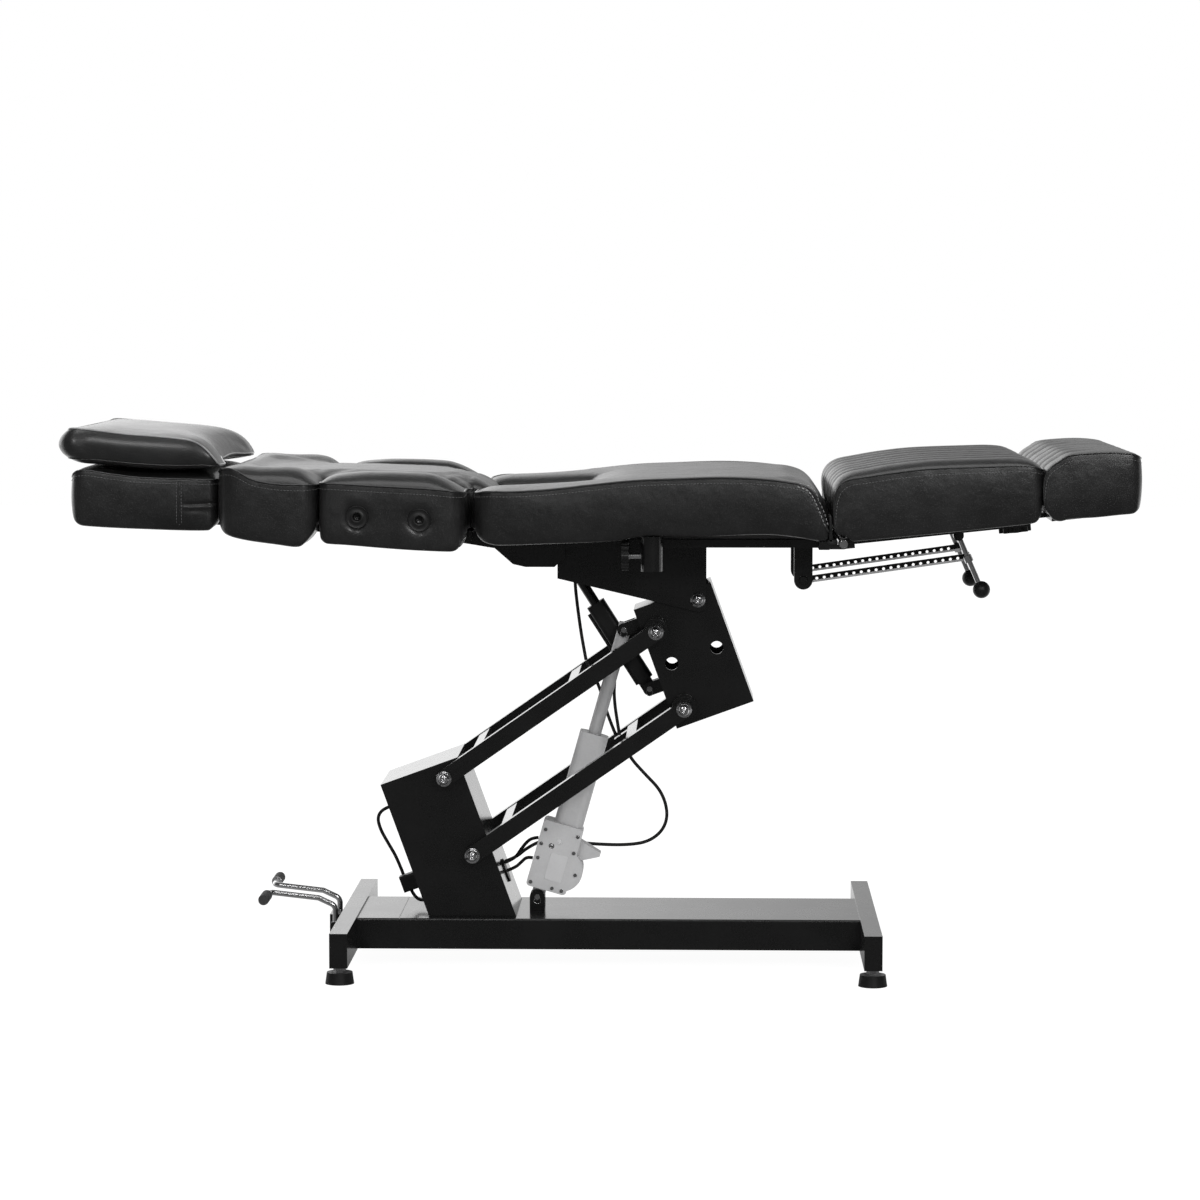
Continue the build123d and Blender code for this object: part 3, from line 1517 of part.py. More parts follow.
def lever(sign):
    """A hub on the leg rest's post, an arm beside the strut, its catch peg and a round knob."""
    pivot = lever_pivot + Vector(0, sign * lever_y, 0)
    along = (sin(radians(lever_angle)), 0, -cos(radians(lever_angle)))
    with BuildPart() as handle:
        with BuildSketch(Plane(origin=pivot, z_dir=along)):
            Circle(lever_radius)
        extrude(amount=lever_length)
        with BuildSketch(side_plane(pivot)):
            Circle(hinge_lug_radius)
        extrude(amount=lever_hub - side_gap, both=True)
        with BuildSketch(side_plane(pivot)):
            Circle(lever_pin_radius + running_gap)
        extrude(amount=2 * lever_hub, both=True, mode=Mode.SUBTRACT)
        with BuildSketch(Plane(origin=pivot, z_dir=along).offset(lever_peg_share * lever_length)):
            Circle(lever_peg_radius + lever_radius)
        extrude(amount=lever_peg_length)
        with Locations(Plane(origin=pivot, z_dir=along).offset(lever_length)):
            Sphere(lever_knob_radius)
    return handle.part


def foot_low(x):
    return leg_low(x)


foot_left = leg_hinge_x + foot_start * cos(radians(leg_rise))


def foot_slide(sign):
    y = sign * leg_middle
    with BuildPart() as slide:
        add(leg_board(
            foot_start + foot_deck_inset, foot_start + foot_length - foot_deck_inset, leg_slot_rise,
            foot_bar_height, leg_board_half, y,
        ))
        add(leg_board(
            foot_start - foot_bar_overlap, foot_start + 2 * foot_deck_inset, leg_slot_rise, foot_bar_height,
            foot_bar_width / 2, y,
        ))
    return slide.part


def foot_cushion(sign):
    y = sign * leg_middle
    with BuildPart() as cushion:
        add(pad(
            foot_left, foot_reach, y, 2 * leg_half, foot_low, foot_pad_height, foot_crown,
            sections=foot_sections,
        ))
        add(
            leg_board(
                foot_start + foot_deck_inset - soft_gap,
                foot_start + foot_length - foot_deck_inset + soft_gap,
                -leg_height, leg_height + leg_slot_rise + foot_bar_height + soft_gap,
                leg_board_half + soft_gap, y,
            ),
            mode=Mode.SUBTRACT,
        )
        add(
            leg_board(
                foot_start - foot_deck_inset, foot_start + 2 * foot_deck_inset, -leg_height,
                leg_height + leg_slot_rise + foot_bar_height + soft_gap, foot_bar_width / 2 + soft_gap, y,
            ),
            mode=Mode.SUBTRACT,
        )
    return cushion.part


def foot_knob(sign):
    """A lobed knob under the leg rest whose screw ends just under the foot bar."""
    top = leaned(leg_hinge, leg_rise, knob_reach, leg_deck_rise - knob_drop, sign * leg_middle)
    face = Plane(origin=top, x_dir=(0, 1, 0), z_dir=(-sin(radians(leg_rise)), 0, cos(radians(leg_rise))))
    with BuildPart() as knob:
        with BuildSketch(face):
            Circle(knob_radius - clamp_lobe_radius)
            with PolarLocations(knob_radius - clamp_lobe_radius, clamp_lobes):
                Circle(clamp_lobe_radius)
        extrude(amount=-knob_height)
        with BuildSketch(face):
            Circle(knob_screw_radius)
        extrude(amount=knob_drop + leg_slot_rise - leg_deck_rise - slide_gap)
    return knob.part


for side, sign in sides:
    save(leg_cushion(sign), f"{side}_leg_cushion")
    save(leg_frame(sign), f"{side}_leg_frame")
    save(strut(sign), f"{side}_strut")
    save(lever(sign), f"{side}_release_lever")
    save(foot_cushion(sign), f"{side}_foot_cushion")
    save(foot_slide(sign), f"{side}_foot_slide")
    save(foot_knob(sign), f"{side}_foot_knob")

# Cables, as points from the middle of the base
cable_routes = {
    "column_back_cable": [
        [
            (-393.6, 0, 268.5), (-407, 0, 263.6), (-416, 0, 249), (-411, 0, 228), (-397, 0, 203),
            (-380.5, 0, 175), (-369.7, 0, 146),
        ],
        [(-355.5, 0, 118), (-350.1, 0, 106.6), (-336.3, 0, 97.8), (-322.6, 0, 102.8)],
    ],
    "loop_cable": [[
        (22, 40, 382.3), (33, 40, 356), (61, 40, 325), (92, 40, 293), (104, 40, 254), (96, 40, 223),
        (69, 40, 201), (30, 40, 195), (-21, 40, 196), (-70, 36, 201), (-118, 26, 207), (-150, 16, 192),
        (-168, 12, 176.1), (-188.1, 12, 168.8),
    ]],
    "lift_cables": [
        [
            (-127, -16, 216.2), (-138.5, -14, 215), (-149, -10, 206), (-158, -6, 194), (-169.9, -2, 175.4),
            (-188.1, -2, 168.8),
        ],
        [
            (-137, -16, 179.6), (-147.5, -15, 181.4), (-157, -13, 172), (-168.5, -11, 161),
            (-183.3, -10, 155.6),
        ],
    ],
    "head_cables": [
        [(-43.6, 54, 527.1), (-33, 50, 506), (-21, 47, 483), (-12, 44, 455), (-3, 41, 425), (10.8, 38, 392)],
        [
            (8.1, 22, 520.7), (8.5, 22.5, 497), (7, 23, 472), (9, 24, 446), (13, 25, 420), (16.7, 26, 395.6),
        ],
    ],
    "seat_cable": [[
        (-62, 54, 744.7), (-62, 54, 706), (-64, 54, 668), (-60, 54, 630), (-55, 54, 592), (-50, 54, 560),
        (-44, 54, 528),
    ]],
    "tilt_cable": [[(-37.7, 25, 612.2), (-2.1, 25, 556.6)]],
    "tilt_cable_tail": [[(-1.8, 25, 556.2), (4.7, 24.5, 546), (7, 23, 534), (8, 22, 521)]],
}
for name, routes in cable_routes.items():
    save(group([cable([(base_x + x, y, z) for x, y, z in route]) for route in routes]), name)
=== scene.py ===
# Tattoo chair: cushions, seams, cables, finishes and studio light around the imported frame.
# Settings are in millimetres from the middle of the base, and meshes are written in metres.
import bpy
import math
import numpy as np
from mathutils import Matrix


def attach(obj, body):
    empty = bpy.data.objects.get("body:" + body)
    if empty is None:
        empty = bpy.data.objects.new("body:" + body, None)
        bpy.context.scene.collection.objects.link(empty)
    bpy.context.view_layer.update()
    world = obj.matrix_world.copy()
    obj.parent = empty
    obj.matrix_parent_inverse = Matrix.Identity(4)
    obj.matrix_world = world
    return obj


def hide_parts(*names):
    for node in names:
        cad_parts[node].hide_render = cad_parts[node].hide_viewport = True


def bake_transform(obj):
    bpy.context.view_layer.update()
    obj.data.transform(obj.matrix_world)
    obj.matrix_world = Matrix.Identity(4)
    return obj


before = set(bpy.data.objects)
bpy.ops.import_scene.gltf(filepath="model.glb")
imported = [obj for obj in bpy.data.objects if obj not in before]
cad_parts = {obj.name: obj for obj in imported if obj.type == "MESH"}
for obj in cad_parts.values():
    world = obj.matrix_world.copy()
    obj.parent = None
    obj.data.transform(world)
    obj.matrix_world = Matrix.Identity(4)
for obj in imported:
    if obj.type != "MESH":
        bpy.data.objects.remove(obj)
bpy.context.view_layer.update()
baseX = 19.0  # the base's middle in the model's frame
sideSigns = {"near": -1, "far": 1}


# Camera at the photograph's place
cameraSettings = {"place": (0.184, -6.554, 1.1832), "down": 4.734, "turn": 1.594, "lens": 111.0}
cameraData = bpy.data.cameras.new("camera")
cameraData.lens = cameraSettings["lens"]
cameraData.sensor_width = 36.0
camera = bpy.data.objects.new("camera", cameraData)
camera.location = cameraSettings["place"]
camera.rotation_euler = (math.radians(90 - cameraSettings["down"]), 0, math.radians(cameraSettings["turn"]))
bpy.context.scene.collection.objects.link(camera)
bpy.context.scene.camera = camera


# Curves and grids

def unit(vectors):
    # each vector divided by its own length
    return vectors / np.maximum(np.linalg.norm(vectors, axis=-1, keepdims=True), 1e-9)


def levelAt(points, x):
    # cubic through given (x, z) points, with slopes that never overshoot them
    p = np.array(points, float)
    x = np.asarray(x, float)
    run = np.diff(p[:, 1]) / np.diff(p[:, 0])
    both = run[1:] * run[:-1]
    total = run[1:] + run[:-1]
    inner = np.where(both > 0, 2 * both / np.where(np.abs(total) > 1e-9, total, 1), 0)
    slope = np.concatenate([run[:1], inner, run[-1:]])
    i = np.clip(np.searchsorted(p[:, 0], x) - 1, 0, len(p) - 2)
    w = p[i + 1, 0] - p[i, 0]
    t = np.clip((x - p[i, 0]) / w, 0, 1)
    return (
        (2 * t**3 - 3 * t**2 + 1) * p[i, 1] + (t**3 - 2 * t**2 + t) * w * slope[i]
        + (3 * t**2 - 2 * t**3) * p[i + 1, 1] + (t**3 - t**2) * w * slope[i + 1]
    )


def smoothPath(points, count, crowd=0.0):
    # Catmull-Rom through the points, then even steps of its length, closer together at the ends
    p = np.array(points, float)
    q = np.concatenate([2 * p[:1] - p[1:2], p, 2 * p[-1:] - p[-2:-1]])
    t = np.linspace(0, 1, 24, endpoint=False)[:, None]
    a, b, c, d = (q[k:len(q) - 3 + k, None, :] for k in range(4))
    fine = 0.5 * (2 * b + (c - a) * t + (2 * a - 5 * b + 4 * c - d) * t**2 + (3 * b - a - 3 * c + d) * t**3)
    fine = np.concatenate([fine.reshape(-1, p.shape[1]), p[-1:]])
    along = np.concatenate([[0], np.cumsum(np.linalg.norm(np.diff(fine, axis=0), axis=1))])
    s = np.linspace(0, 1, count)
    s = s - crowd * np.sin(2 * np.pi * s) / (2 * np.pi)
    return np.stack([np.interp(s * along[-1], along, fine[:, k]) for k in range(p.shape[1])], 1)


def roll(distance, radius):
    # how a stuffed edge rises from its seam: a flattened quarter circle
    q = np.clip(distance / radius, 0, 1)
    return np.maximum(1 - (1 - q) ** 2, 0) ** 0.62


def ease(x, low, high):
    # 0 below low, 1 above high, 3t^2 - 2t^3 between
    t = np.clip((x - low) / (high - low), 0, 1)
    return t * t * (3 - 2 * t)


def crowded(low, high, count, crowd=0.55):
    # grid lines between two edges, closer together at both of them
    s = np.linspace(0, 1, count)
    return low + (high - low) * (s - crowd * np.sin(2 * np.pi * s) / (2 * np.pi))


def toFrame(places):
    # millimetres from the base's middle to the model's metres
    return (np.asarray(places, float) + (baseX, 0, 0)) * 0.001


def makePiece(name, verts, faces, smooth=True):
    # a new object whose mesh is written straight into the model's frame
    mesh = bpy.data.meshes.new(name)
    mesh.from_pydata(toFrame(verts).tolist(), [], faces.tolist() if hasattr(faces, "tolist") else faces)
    mesh.validate()
    mesh.polygons.foreach_set("use_smooth", np.full(len(mesh.polygons), smooth))
    piece = bpy.data.objects.new(name, mesh)
    bpy.context.scene.collection.objects.link(piece)
    return piece


def tubeAlong(path, side, radius, count=8, closed=False):
    # circle of the radius carried along the path, side gives each point's first axis
    tangent = unit(np.roll(path, -1, 0) - np.roll(path, 1, 0)) if closed else unit(np.gradient(path, axis=0))
    second = unit(np.cross(tangent, side))
    first = np.cross(second, tangent)
    angle = np.linspace(0, 2 * np.pi, count, endpoint=False)
    rings = np.broadcast_to(np.asarray(radius, float), (len(path),))[:, None, None]
    verts = path[:, None] + rings * (
        first[:, None] * np.cos(angle)[None, :, None] + second[:, None] * np.sin(angle)[None, :, None]
    )
    n = len(path)
    i, j = np.meshgrid(np.arange(n if closed else n - 1), np.arange(count), indexing="ij")
    i2, j2 = (i + 1) % n, (j + 1) % count
    quads = np.stack([i * count + j, i2 * count + j, i2 * count + j2, i * count + j2], -1).reshape(-1, 4)
    faces = quads[:, ::-1].tolist()
    verts = verts.reshape(-1, 3)
    if not closed:
        verts = np.concatenate([verts, path[:1], path[-1:]])
        ring = np.arange(count)
        nxt = (ring + 1) % count
        last = (n - 1) * count
        faces += np.stack([np.full(count, n * count), ring, nxt], 1).tolist()
        faces += np.stack([np.full(count, n * count + 1), last + nxt, last + ring], 1).tolist()
    return verts, faces


def joinParts(parts):
    # several (verts, faces) lists as one
    verts, faces, start = [], [], 0
    for v, f in parts:
        verts.append(v)
        faces += [[k + start for k in face] for face in f]
        start += len(v)
    return np.concatenate(verts), faces


# Finishes

class Wire:
    # one output of a node; arithmetic on it adds Math nodes
    def __init__(self, finish, socket):
        self.finish, self.socket = finish, socket

    def math(self, operation, *others):
        return self.finish.node("ShaderNodeMath", {"operation": operation}, dict(enumerate((self, *others))))

    def flipped(self, operation, other):
        return self.finish.node("ShaderNodeMath", {"operation": operation}, {0: other, 1: self})

    def __add__(self, other):
        return self.math("ADD", other)

    def __sub__(self, other):
        return self.math("SUBTRACT", other)

    def __rsub__(self, other):
        return self.flipped("SUBTRACT", other)

    def __mul__(self, other):
        return self.math("MULTIPLY", other)

    __radd__ = __add__
    __rmul__ = __mul__

    def out(self, name):
        return Wire(self.finish, self.socket.node.outputs[name])

    def between(self, low, high):
        # 0 below low, 1 above high
        return self.finish.node(
            "ShaderNodeMapRange", {"interpolation_type": "SMOOTHSTEP"},
            {"Value": self, "From Min": low, "From Max": high, "To Min": 0.0, "To Max": 1.0},
        )


class Graph:
    # a node tree and the one way its nodes are made
    def __init__(self, tree):
        self.tree = tree

    def node(self, kind, settings, values, out=0):
        made = self.tree.nodes.new(kind)
        for key, value in settings.items():
            setattr(made, key, value)
        for key, value in values.items():
            if isinstance(value, Wire):
                self.tree.links.new(value.socket, made.inputs[key])
            else:
                made.inputs[key].default_value = value
        return None if out is None else Wire(self, made.outputs[out])


shaderSockets = {
    "colour": "Base Color", "roughness": "Roughness", "metallic": "Metallic", "normal": "Normal",
    "coat": "Coat Weight",
}


class Finish(Graph):
    # a material made of a Principled shader and the nodes that feed it
    def __init__(self, name, constants):
        self.material = bpy.data.materials.new(name)
        self.material.use_nodes = True
        super().__init__(self.material.node_tree)
        self.shader = self.tree.nodes["Principled BSDF"]
        for socket, value in constants.items():
            self.shader.inputs[socket].default_value = value
        self.place = self.node("ShaderNodeTexCoord", {}, {}, "Object")

    def noise(self, scale, detail):
        # soft clouds on the piece's own coordinates, scale in clouds per metre
        values = {"Vector": self.place, "Scale": scale, "Detail": detail, "Roughness": 0.55}
        return self.node("ShaderNodeTexNoise", {}, values)

    def cells(self, scale, feature):
        # distance within cells, scale in cells per metre
        values = {"Vector": self.place, "Scale": scale}
        return self.node("ShaderNodeTexVoronoi", {"feature": feature}, values, "Distance")

    def axis(self, name):
        # one of the piece's own coordinates, in metres
        return self.node("ShaderNodeSeparateXYZ", {}, {"Vector": self.place}, name)

    def mix(self, factor, first, second):
        return self.node("ShaderNodeMix", {"data_type": "RGBA"}, {0: factor, 6: first, 7: second}, 2)

    def bump(self, height, distance, strength, below=None):
        # a normal leant by the height, on top of another normal if there is one
        values = {"Height": height, "Distance": distance, "Strength": strength}
        if below is not None:
            values["Normal"] = below
        return self.node("ShaderNodeBump", {}, values)

    def feed(self, **wires):
        # wires into the shader's sockets
        for key, wire in wires.items():
            self.tree.links.new(wire.socket, self.shader.inputs[shaderSockets[key]])
        return self.material


def grey(value):
    # a neutral colour, barely cool
    return (value, value, value * 1.01, 1.0)


# gloss is roughness, film the coat's roughness, grain the cells per metre, depth their height in metres
leatherLooks = {
    "blackLeather": {"dark": 0.007, "light": 0.014, "gloss": 0.31, "coat": 0.5, "film": 0.25,
                     "grain": 560.0, "depth": 0.00040},
    "pillowLeather": {"dark": 0.008, "light": 0.016, "gloss": 0.30, "coat": 0.75, "film": 0.25,
                      "grain": 560.0, "depth": 0.00036},
    "piping": {"dark": 0.010, "light": 0.020, "gloss": 0.28, "coat": 0.9, "film": 0.16,
               "grain": 900.0, "depth": 0.00010},
    # the pillow's top piping is black like the rest; its lighter colour is a painted highlight along the edge
    "pipingPaintedHighlight": {"dark": 0.16, "light": 0.30, "gloss": 0.25, "coat": 0.9, "film": 0.12,
                 "grain": 900.0, "depth": 0.00008},
}
leatherPattern = {
    "cloud": 7.0, "patches": 34.0, "broadSwell": 9.0, "smallSwell": 38.0, "swellDepth": 0.010,
    "swellStrength": 0.55, "creaseShare": 0.55, "creaseWidth": 0.09, "poreShare": 3.2, "grainStrength": 0.55,
}


def leather(name):
    # pebbled cells with creases between them over broad soft swells, under a thin sealed film
    look, pattern = leatherLooks[name], leatherPattern
    finish = Finish(name, {"Specular IOR Level": 0.4, "Coat Roughness": look["film"], "Coat IOR": 1.5})
    cloud = finish.noise(pattern["cloud"], 4.0)
    patches = finish.noise(pattern["patches"], 3.0)
    pebbles = finish.cells(look["grain"], "SMOOTH_F1")
    edges = finish.cells(look["grain"] * pattern["creaseShare"], "DISTANCE_TO_EDGE")
    creases = edges.between(0.0, pattern["creaseWidth"])
    pores = finish.noise(look["grain"] * pattern["poreShare"], 2.0)
    waves = finish.noise(pattern["broadSwell"], 2.0) + 0.3 * finish.noise(pattern["smallSwell"], 2.0)
    swell = finish.bump(waves, pattern["swellDepth"], pattern["swellStrength"])
    pebbled = pebbles * 0.7 + pores * 0.2 + creases * 0.55
    grain = finish.bump(pebbled, look["depth"], pattern["grainStrength"], swell)
    worn = (cloud * 0.6 + patches * 0.4).between(0.3, 0.72)
    colour = finish.mix(worn, grey(look["dark"]), grey(look["light"]))
    roughness = look["gloss"] + 0.10 * patches + 0.05 * cloud - 0.03 * creases
    sealed = look["coat"] * (1.0 - 0.35 * pores * patches)
    return finish.feed(colour=colour, roughness=roughness, normal=grain, coat=sealed)


# metal is the share of metal, peel the paint's cells per metre
hardLookNames = ("dark", "light", "gloss", "metal", "peel", "depth")
hardLooks = {
    "blackPaint": (0.003, 0.006, 0.22, 0.0, 900.0, 0.000006),
    "tubeGrey": (0.50, 0.58, 0.36, 0.0, 700.0, 0.00003),
    "chrome": (0.80, 0.92, 0.13, 1.0, 400.0, 0.00001),
    "steel": (0.50, 0.64, 0.20, 1.0, 500.0, 0.00002),
    "rodSteel": (0.46, 0.56, 0.40, 0.2, 500.0, 0.00002),
    # the struts' chrome as two painted copies: a dark one for painted shade on the side, a light one for the
    # painted reflection along the lower edge
    "strutPaintedShade": (0.010, 0.020, 0.20, 0.6, 500.0, 0.00002),
    "strutPaintedReflection": (0.50, 0.62, 0.22, 0.3, 500.0, 0.00002),
    "plate": (0.60, 0.66, 0.30, 0.0, 1500.0, 0.00002),
    "blackPlastic": (0.006, 0.011, 0.36, 0.0, 1400.0, 0.00007),
    "blackRubber": (0.008, 0.016, 0.55, 0.0, 1200.0, 0.00008),
    "rubberCap": (0.030, 0.055, 0.60, 0.0, 900.0, 0.00008),
    "knobPlastic": (0.006, 0.011, 0.16, 0.0, 900.0, 0.00002),
    "caseGrey": (0.52, 0.60, 0.42, 0.0, 1100.0, 0.00006),
    "thread": (0.10, 0.18, 0.55, 0.0, 1600.0, 0.00008),
    "paleThread": (0.30, 0.46, 0.5, 0.0, 1600.0, 0.00008),
}
hardLooks = {name: dict(zip(hardLookNames, look)) for name, look in hardLooks.items()}


def surface(finish, look, cloud, dust):
    # colour and roughness of one hard finish: clouds, dust, and smudges that dull it
    clouded = (cloud * 0.7 + dust * 0.3).between(0.3, 0.75)
    colour = finish.mix(clouded, grey(look["dark"]), grey(look["light"]))
    return colour, look["gloss"] + 0.07 * cloud + 0.05 * dust


def hardFinish(name, first, second=None, where=None, coat=0.0):
    # one hard finish, or two of them with a mask on the piece's own coordinates
    looks = [hardLooks[first], hardLooks[second or first]]
    finish = Finish(name, {"Specular IOR Level": 0.45, "Coat Weight": coat, "Coat Roughness": 0.10})
    cloud, dust = finish.noise(14.0, 4.0), finish.noise(240.0, 2.0)
    colour, roughness = surface(finish, looks[0], cloud, dust)
    edge = finish.node("ShaderNodeBevel", {"samples": 4}, {"Radius": 0.0008})
    height = finish.cells(looks[0]["peel"], "SMOOTH_F1")
    if where is None:
        finish.shader.inputs["Metallic"].default_value = looks[0]["metal"]
        finish.feed(colour=colour, roughness=roughness)
    else:
        mask = where(finish)
        other, dull = surface(finish, looks[1], cloud, dust)
        metals = looks[0]["metal"] + (looks[1]["metal"] - looks[0]["metal"]) * mask
        finish.feed(colour=finish.mix(mask, colour, other), roughness=roughness + (dull - roughness) * mask,
                    metallic=metals)
    return finish.feed(normal=finish.bump(height, looks[0]["depth"], 0.5, edge))


def far(finish, axis, limit, blur=0.0004):
    # 1 where the coordinate's size is past the limit, in metres
    return finish.axis(axis).math("ABSOLUTE").between(limit - blur, limit + blur)


def past(finish, axis, limit, blur=0.0004):
    # 1 where the coordinate itself is past the limit, in metres
    return finish.axis(axis).between(limit - blur, limit + blur)


def roundSpot(finish, place, radius, blur=0.0003):
    # 1 inside a ball, with place and radius in the base's millimetres
    places = {0: finish.place, 1: toFrame(place).tolist()}
    away = finish.node("ShaderNodeVectorMath", {"operation": "DISTANCE"}, places, "Value")
    return 1.0 - away.between(radius * 0.001 - blur, radius * 0.001 + blur)


strutBand = {"through": (340.0, 686.0), "rise": 8.2, "limits": (-0.0024, -0.0018)}


def strutSide(finish):
    # 1 above the strut's lower edge band, measured across its own slope; the band below is painted light as a
    # reflection, the side above painted dark as shade
    x, _, z = toFrame((strutBand["through"][0], 0, strutBand["through"][1]))
    rise = math.radians(strutBand["rise"])
    upward = (finish.axis("Z") - float(z)) * math.cos(rise)
    sideways = (finish.axis("X") - float(x)) * math.sin(rise)
    return (upward - sideways).between(*strutBand["limits"])


# the ears' outer faces along Y, in metres
clevisEars = {
    "footMiddle": -0.024, "footHalf": 0.0152, "lift": (-0.0415, -0.0065), "tilt": (0.0123, 0.0377),
    "blur": 0.0001,
}


def footPin(finish):
    # 1 outside the foot clevis' ears
    away = (finish.axis("Y") - clevisEars["footMiddle"]).math("ABSOLUTE")
    half, blur = clevisEars["footHalf"], clevisEars["blur"]
    return away.between(half - blur, half + blur)


def clevisPins(finish):
    # 1 outside the ears of both head clevises: before the lift's, between the two, and past the tilt's
    y, blur = finish.axis("Y"), clevisEars["blur"]
    limits = (*clevisEars["lift"], *clevisEars["tilt"])
    beyond = [y.between(limit - blur, limit + blur) for limit in limits]
    middle = beyond[1] * (1 - beyond[2])
    return (1 - beyond[0]).math("MAXIMUM", middle.math("MAXIMUM", beyond[3]))


finishes = {
    "leather": leather("blackLeather"),
    "pillow": leather("pillowLeather"),
    "piping": leather("piping"),
    "pipingPaintedHighlight": leather("pipingPaintedHighlight"),
    "blackPaint": hardFinish("blackPaint", "blackPaint", coat=0.6),
    "tubeGrey": hardFinish("tubeGrey", "tubeGrey", coat=0.2),
}
plainFinishes = (
    "caseGrey", "chrome", "steel", "rodSteel", "blackPlastic", "blackRubber", "thread", "paleThread", "plate",
)
for name in plainFinishes:
    finishes[name] = hardFinish(name, name)
# nodes whose one solid shows two finishes, with where the second begins in metres
finishes.update({
    "pedals": hardFinish("pedals", "chrome", "rubberCap", lambda f: far(f, "Y", 0.0782)),
    "legHinges": hardFinish("legHinges", "blackPaint", "chrome", lambda f: far(f, "Y", 0.2883), coat=0.6),
    "feet": hardFinish("feet", "blackPlastic", "steel", lambda f: past(f, "Z", 0.0202)),
    "clampScrews": hardFinish("clampScrews", "knobPlastic", "chrome", lambda f: past(f, "X", 0.0585)),
    # struts: a painted reflection along the lower edge band, painted shade on the side above it
    "struts": hardFinish("struts", "strutPaintedReflection", "strutPaintedShade", strutSide),
    "footClevis": hardFinish("footClevis", "blackPaint", "steel", footPin, coat=0.6),
    "headClevises": hardFinish("headClevises", "blackPaint", "steel", clevisPins, coat=0.6),
})
leverKnob = {"x": 649.0, "y": 133.0, "z": 670.9, "radius": 15.6}
for side, sign in sideSigns.items():
    place = (leverKnob["x"], sign * leverKnob["y"], leverKnob["z"])
    finishes[side + "Lever"] = hardFinish(
        side + "Lever", "chrome", "blackPlastic",
        lambda f, place=place: roundSpot(f, place, leverKnob["radius"]))
print("finishes made")


def dress(piece, finish, body):
    # one finish in the mesh's only material slot, and one body, for a new piece
    piece.data.materials.clear()
    piece.data.materials.append(finishes[finish])
    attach(piece, body)
    return piece


# Cables: the routes' points from part.py, as control points of smooth splines

cableRadius = 0.003
cableRoutes = {
    "column_back_cable": {"ends": ("base",), "node": "column_back_cable", "points": [
        (-393.6, 0, 268.5), (-407, 0, 263.6), (-416, 0, 249), (-411, 0, 228), (-397, 0, 203),
        (-380.5, 0, 175), (-369.7, 0, 146)]},
    "column_plug_cable": {"ends": ("base",), "node": "column_back_cable", "points": [
        (-355.5, 0, 118), (-350.1, 0, 106.6), (-336.3, 0, 97.8), (-322.6, 0, 102.8)]},
    "loop_cable": {"ends": ("lower_arms", "base"), "node": "loop_cable", "points": [
        (22, 40, 382.3), (33, 40, 356), (61, 40, 325), (92, 40, 293), (104, 40, 254), (96, 40, 223),
        (69, 40, 201), (30, 40, 195), (-21, 40, 196), (-70, 36, 201), (-118, 26, 207), (-150, 16, 192),
        (-168, 12, 176.1), (-188.1, 12, 168.8)]},
    "gearbox_cable_upper": {"ends": ("lift_body", "base"), "node": "lift_cables", "points": [
        (-127, -16, 216.2), (-138.5, -14, 215), (-149, -10, 206), (-158, -6, 194), (-169.9, -2, 175.4),
        (-188.1, -2, 168.8)]},
    "gearbox_cable_lower": {"ends": ("lift_body", "base"), "node": "lift_cables", "points": [
        (-137, -16, 179.6), (-147.5, -15, 181.4), (-157, -13, 172), (-168.5, -11, 161),
        (-183.3, -10, 155.6)]},
    "head_cable_far": {"ends": ("head", "lower_arms"), "node": "head_cables", "points": [
        (-43.6, 54, 527.1), (-33, 50, 506), (-21, 47, 483), (-12, 44, 455), (-3, 41, 425), (10.8, 38, 392)]},
    "head_cable_near": {"ends": ("head", "lower_arms"), "node": "head_cables", "points": [
        (8.1, 22, 520.7), (8.5, 22.5, 497), (7, 23, 472), (9, 24, 446), (13, 25, 420), (16.7, 26, 395.6)]},
    "seat_cable": {"ends": ("seat", "head"), "node": "seat_cable", "points": [
        (-62, 54, 744.7), (-62, 54, 706), (-64, 54, 668), (-60, 54, 630), (-55, 54, 592), (-50, 54, 560),
        (-44, 54, 528)]},
    "tilt_cable": {"ends": ("tilt_body",), "node": "tilt_cable", "points": [
        (-37.7, 25, 612.2), (-19.9, 25, 584.4), (-2.1, 25, 556.6)]},
    "tilt_cable_tail": {"ends": ("tilt_body", "head"), "node": "tilt_cable_tail", "points": [
        (-1.8, 25, 556.2), (4.7, 24.5, 546), (7, 23, 534), (8, 22, 521)]},
}


def cablePiece(name, route):
    # a round bevel along a spline of order 3 through the route's end points
    curve = bpy.data.curves.new(name, "CURVE")
    curve.dimensions = "3D"
    curve.bevel_depth = cableRadius
    curve.bevel_resolution = 5
    curve.resolution_u = 10
    curve.use_fill_caps = True
    spline = curve.splines.new("NURBS")
    spline.points.add(len(route["points"]) - 1)
    for point, (x, y, z) in zip(spline.points, route["points"]):
        point.co = (*toFrame((x, y, z)), 1.0)
    spline.order_u = 3
    spline.use_endpoint_u = True
    drawn = bpy.data.objects.new(name + "_line", curve)
    mesh = bpy.data.meshes.new_from_object(drawn)
    mesh.name = name
    bpy.data.objects.remove(drawn)
    mesh.polygons.foreach_set("use_smooth", np.ones(len(mesh.polygons), bool))
    piece = bpy.data.objects.new(name, mesh)
    bpy.context.scene.collection.objects.link(piece)
    mesh.materials.clear()
    mesh.materials.append(finishes["blackRubber"])
    if len(route["ends"]) == 2:
        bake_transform(piece)
    else:
        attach(piece, route["ends"][0])
    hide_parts(route["node"])
    return piece


for cableName, route in cableRoutes.items():
    cablePiece(cableName, route)
print("cables made")


# Cushions: a grid above, a grid below, and rows of side panel between their rims

def rimWalk(corners):
    # grid indices along straight edges from corner to corner, seen from above against the clock
    ii, jj = [], []
    for (a, b), (c, d) in zip(corners, corners[1:] + corners[:1]):
        k = np.arange(max(abs(c - a), abs(d - b)))
        ii.append(a + np.sign(c - a) * k)
        jj.append(b + np.sign(d - b) * k)
    return np.concatenate(ii), np.concatenate(jj)


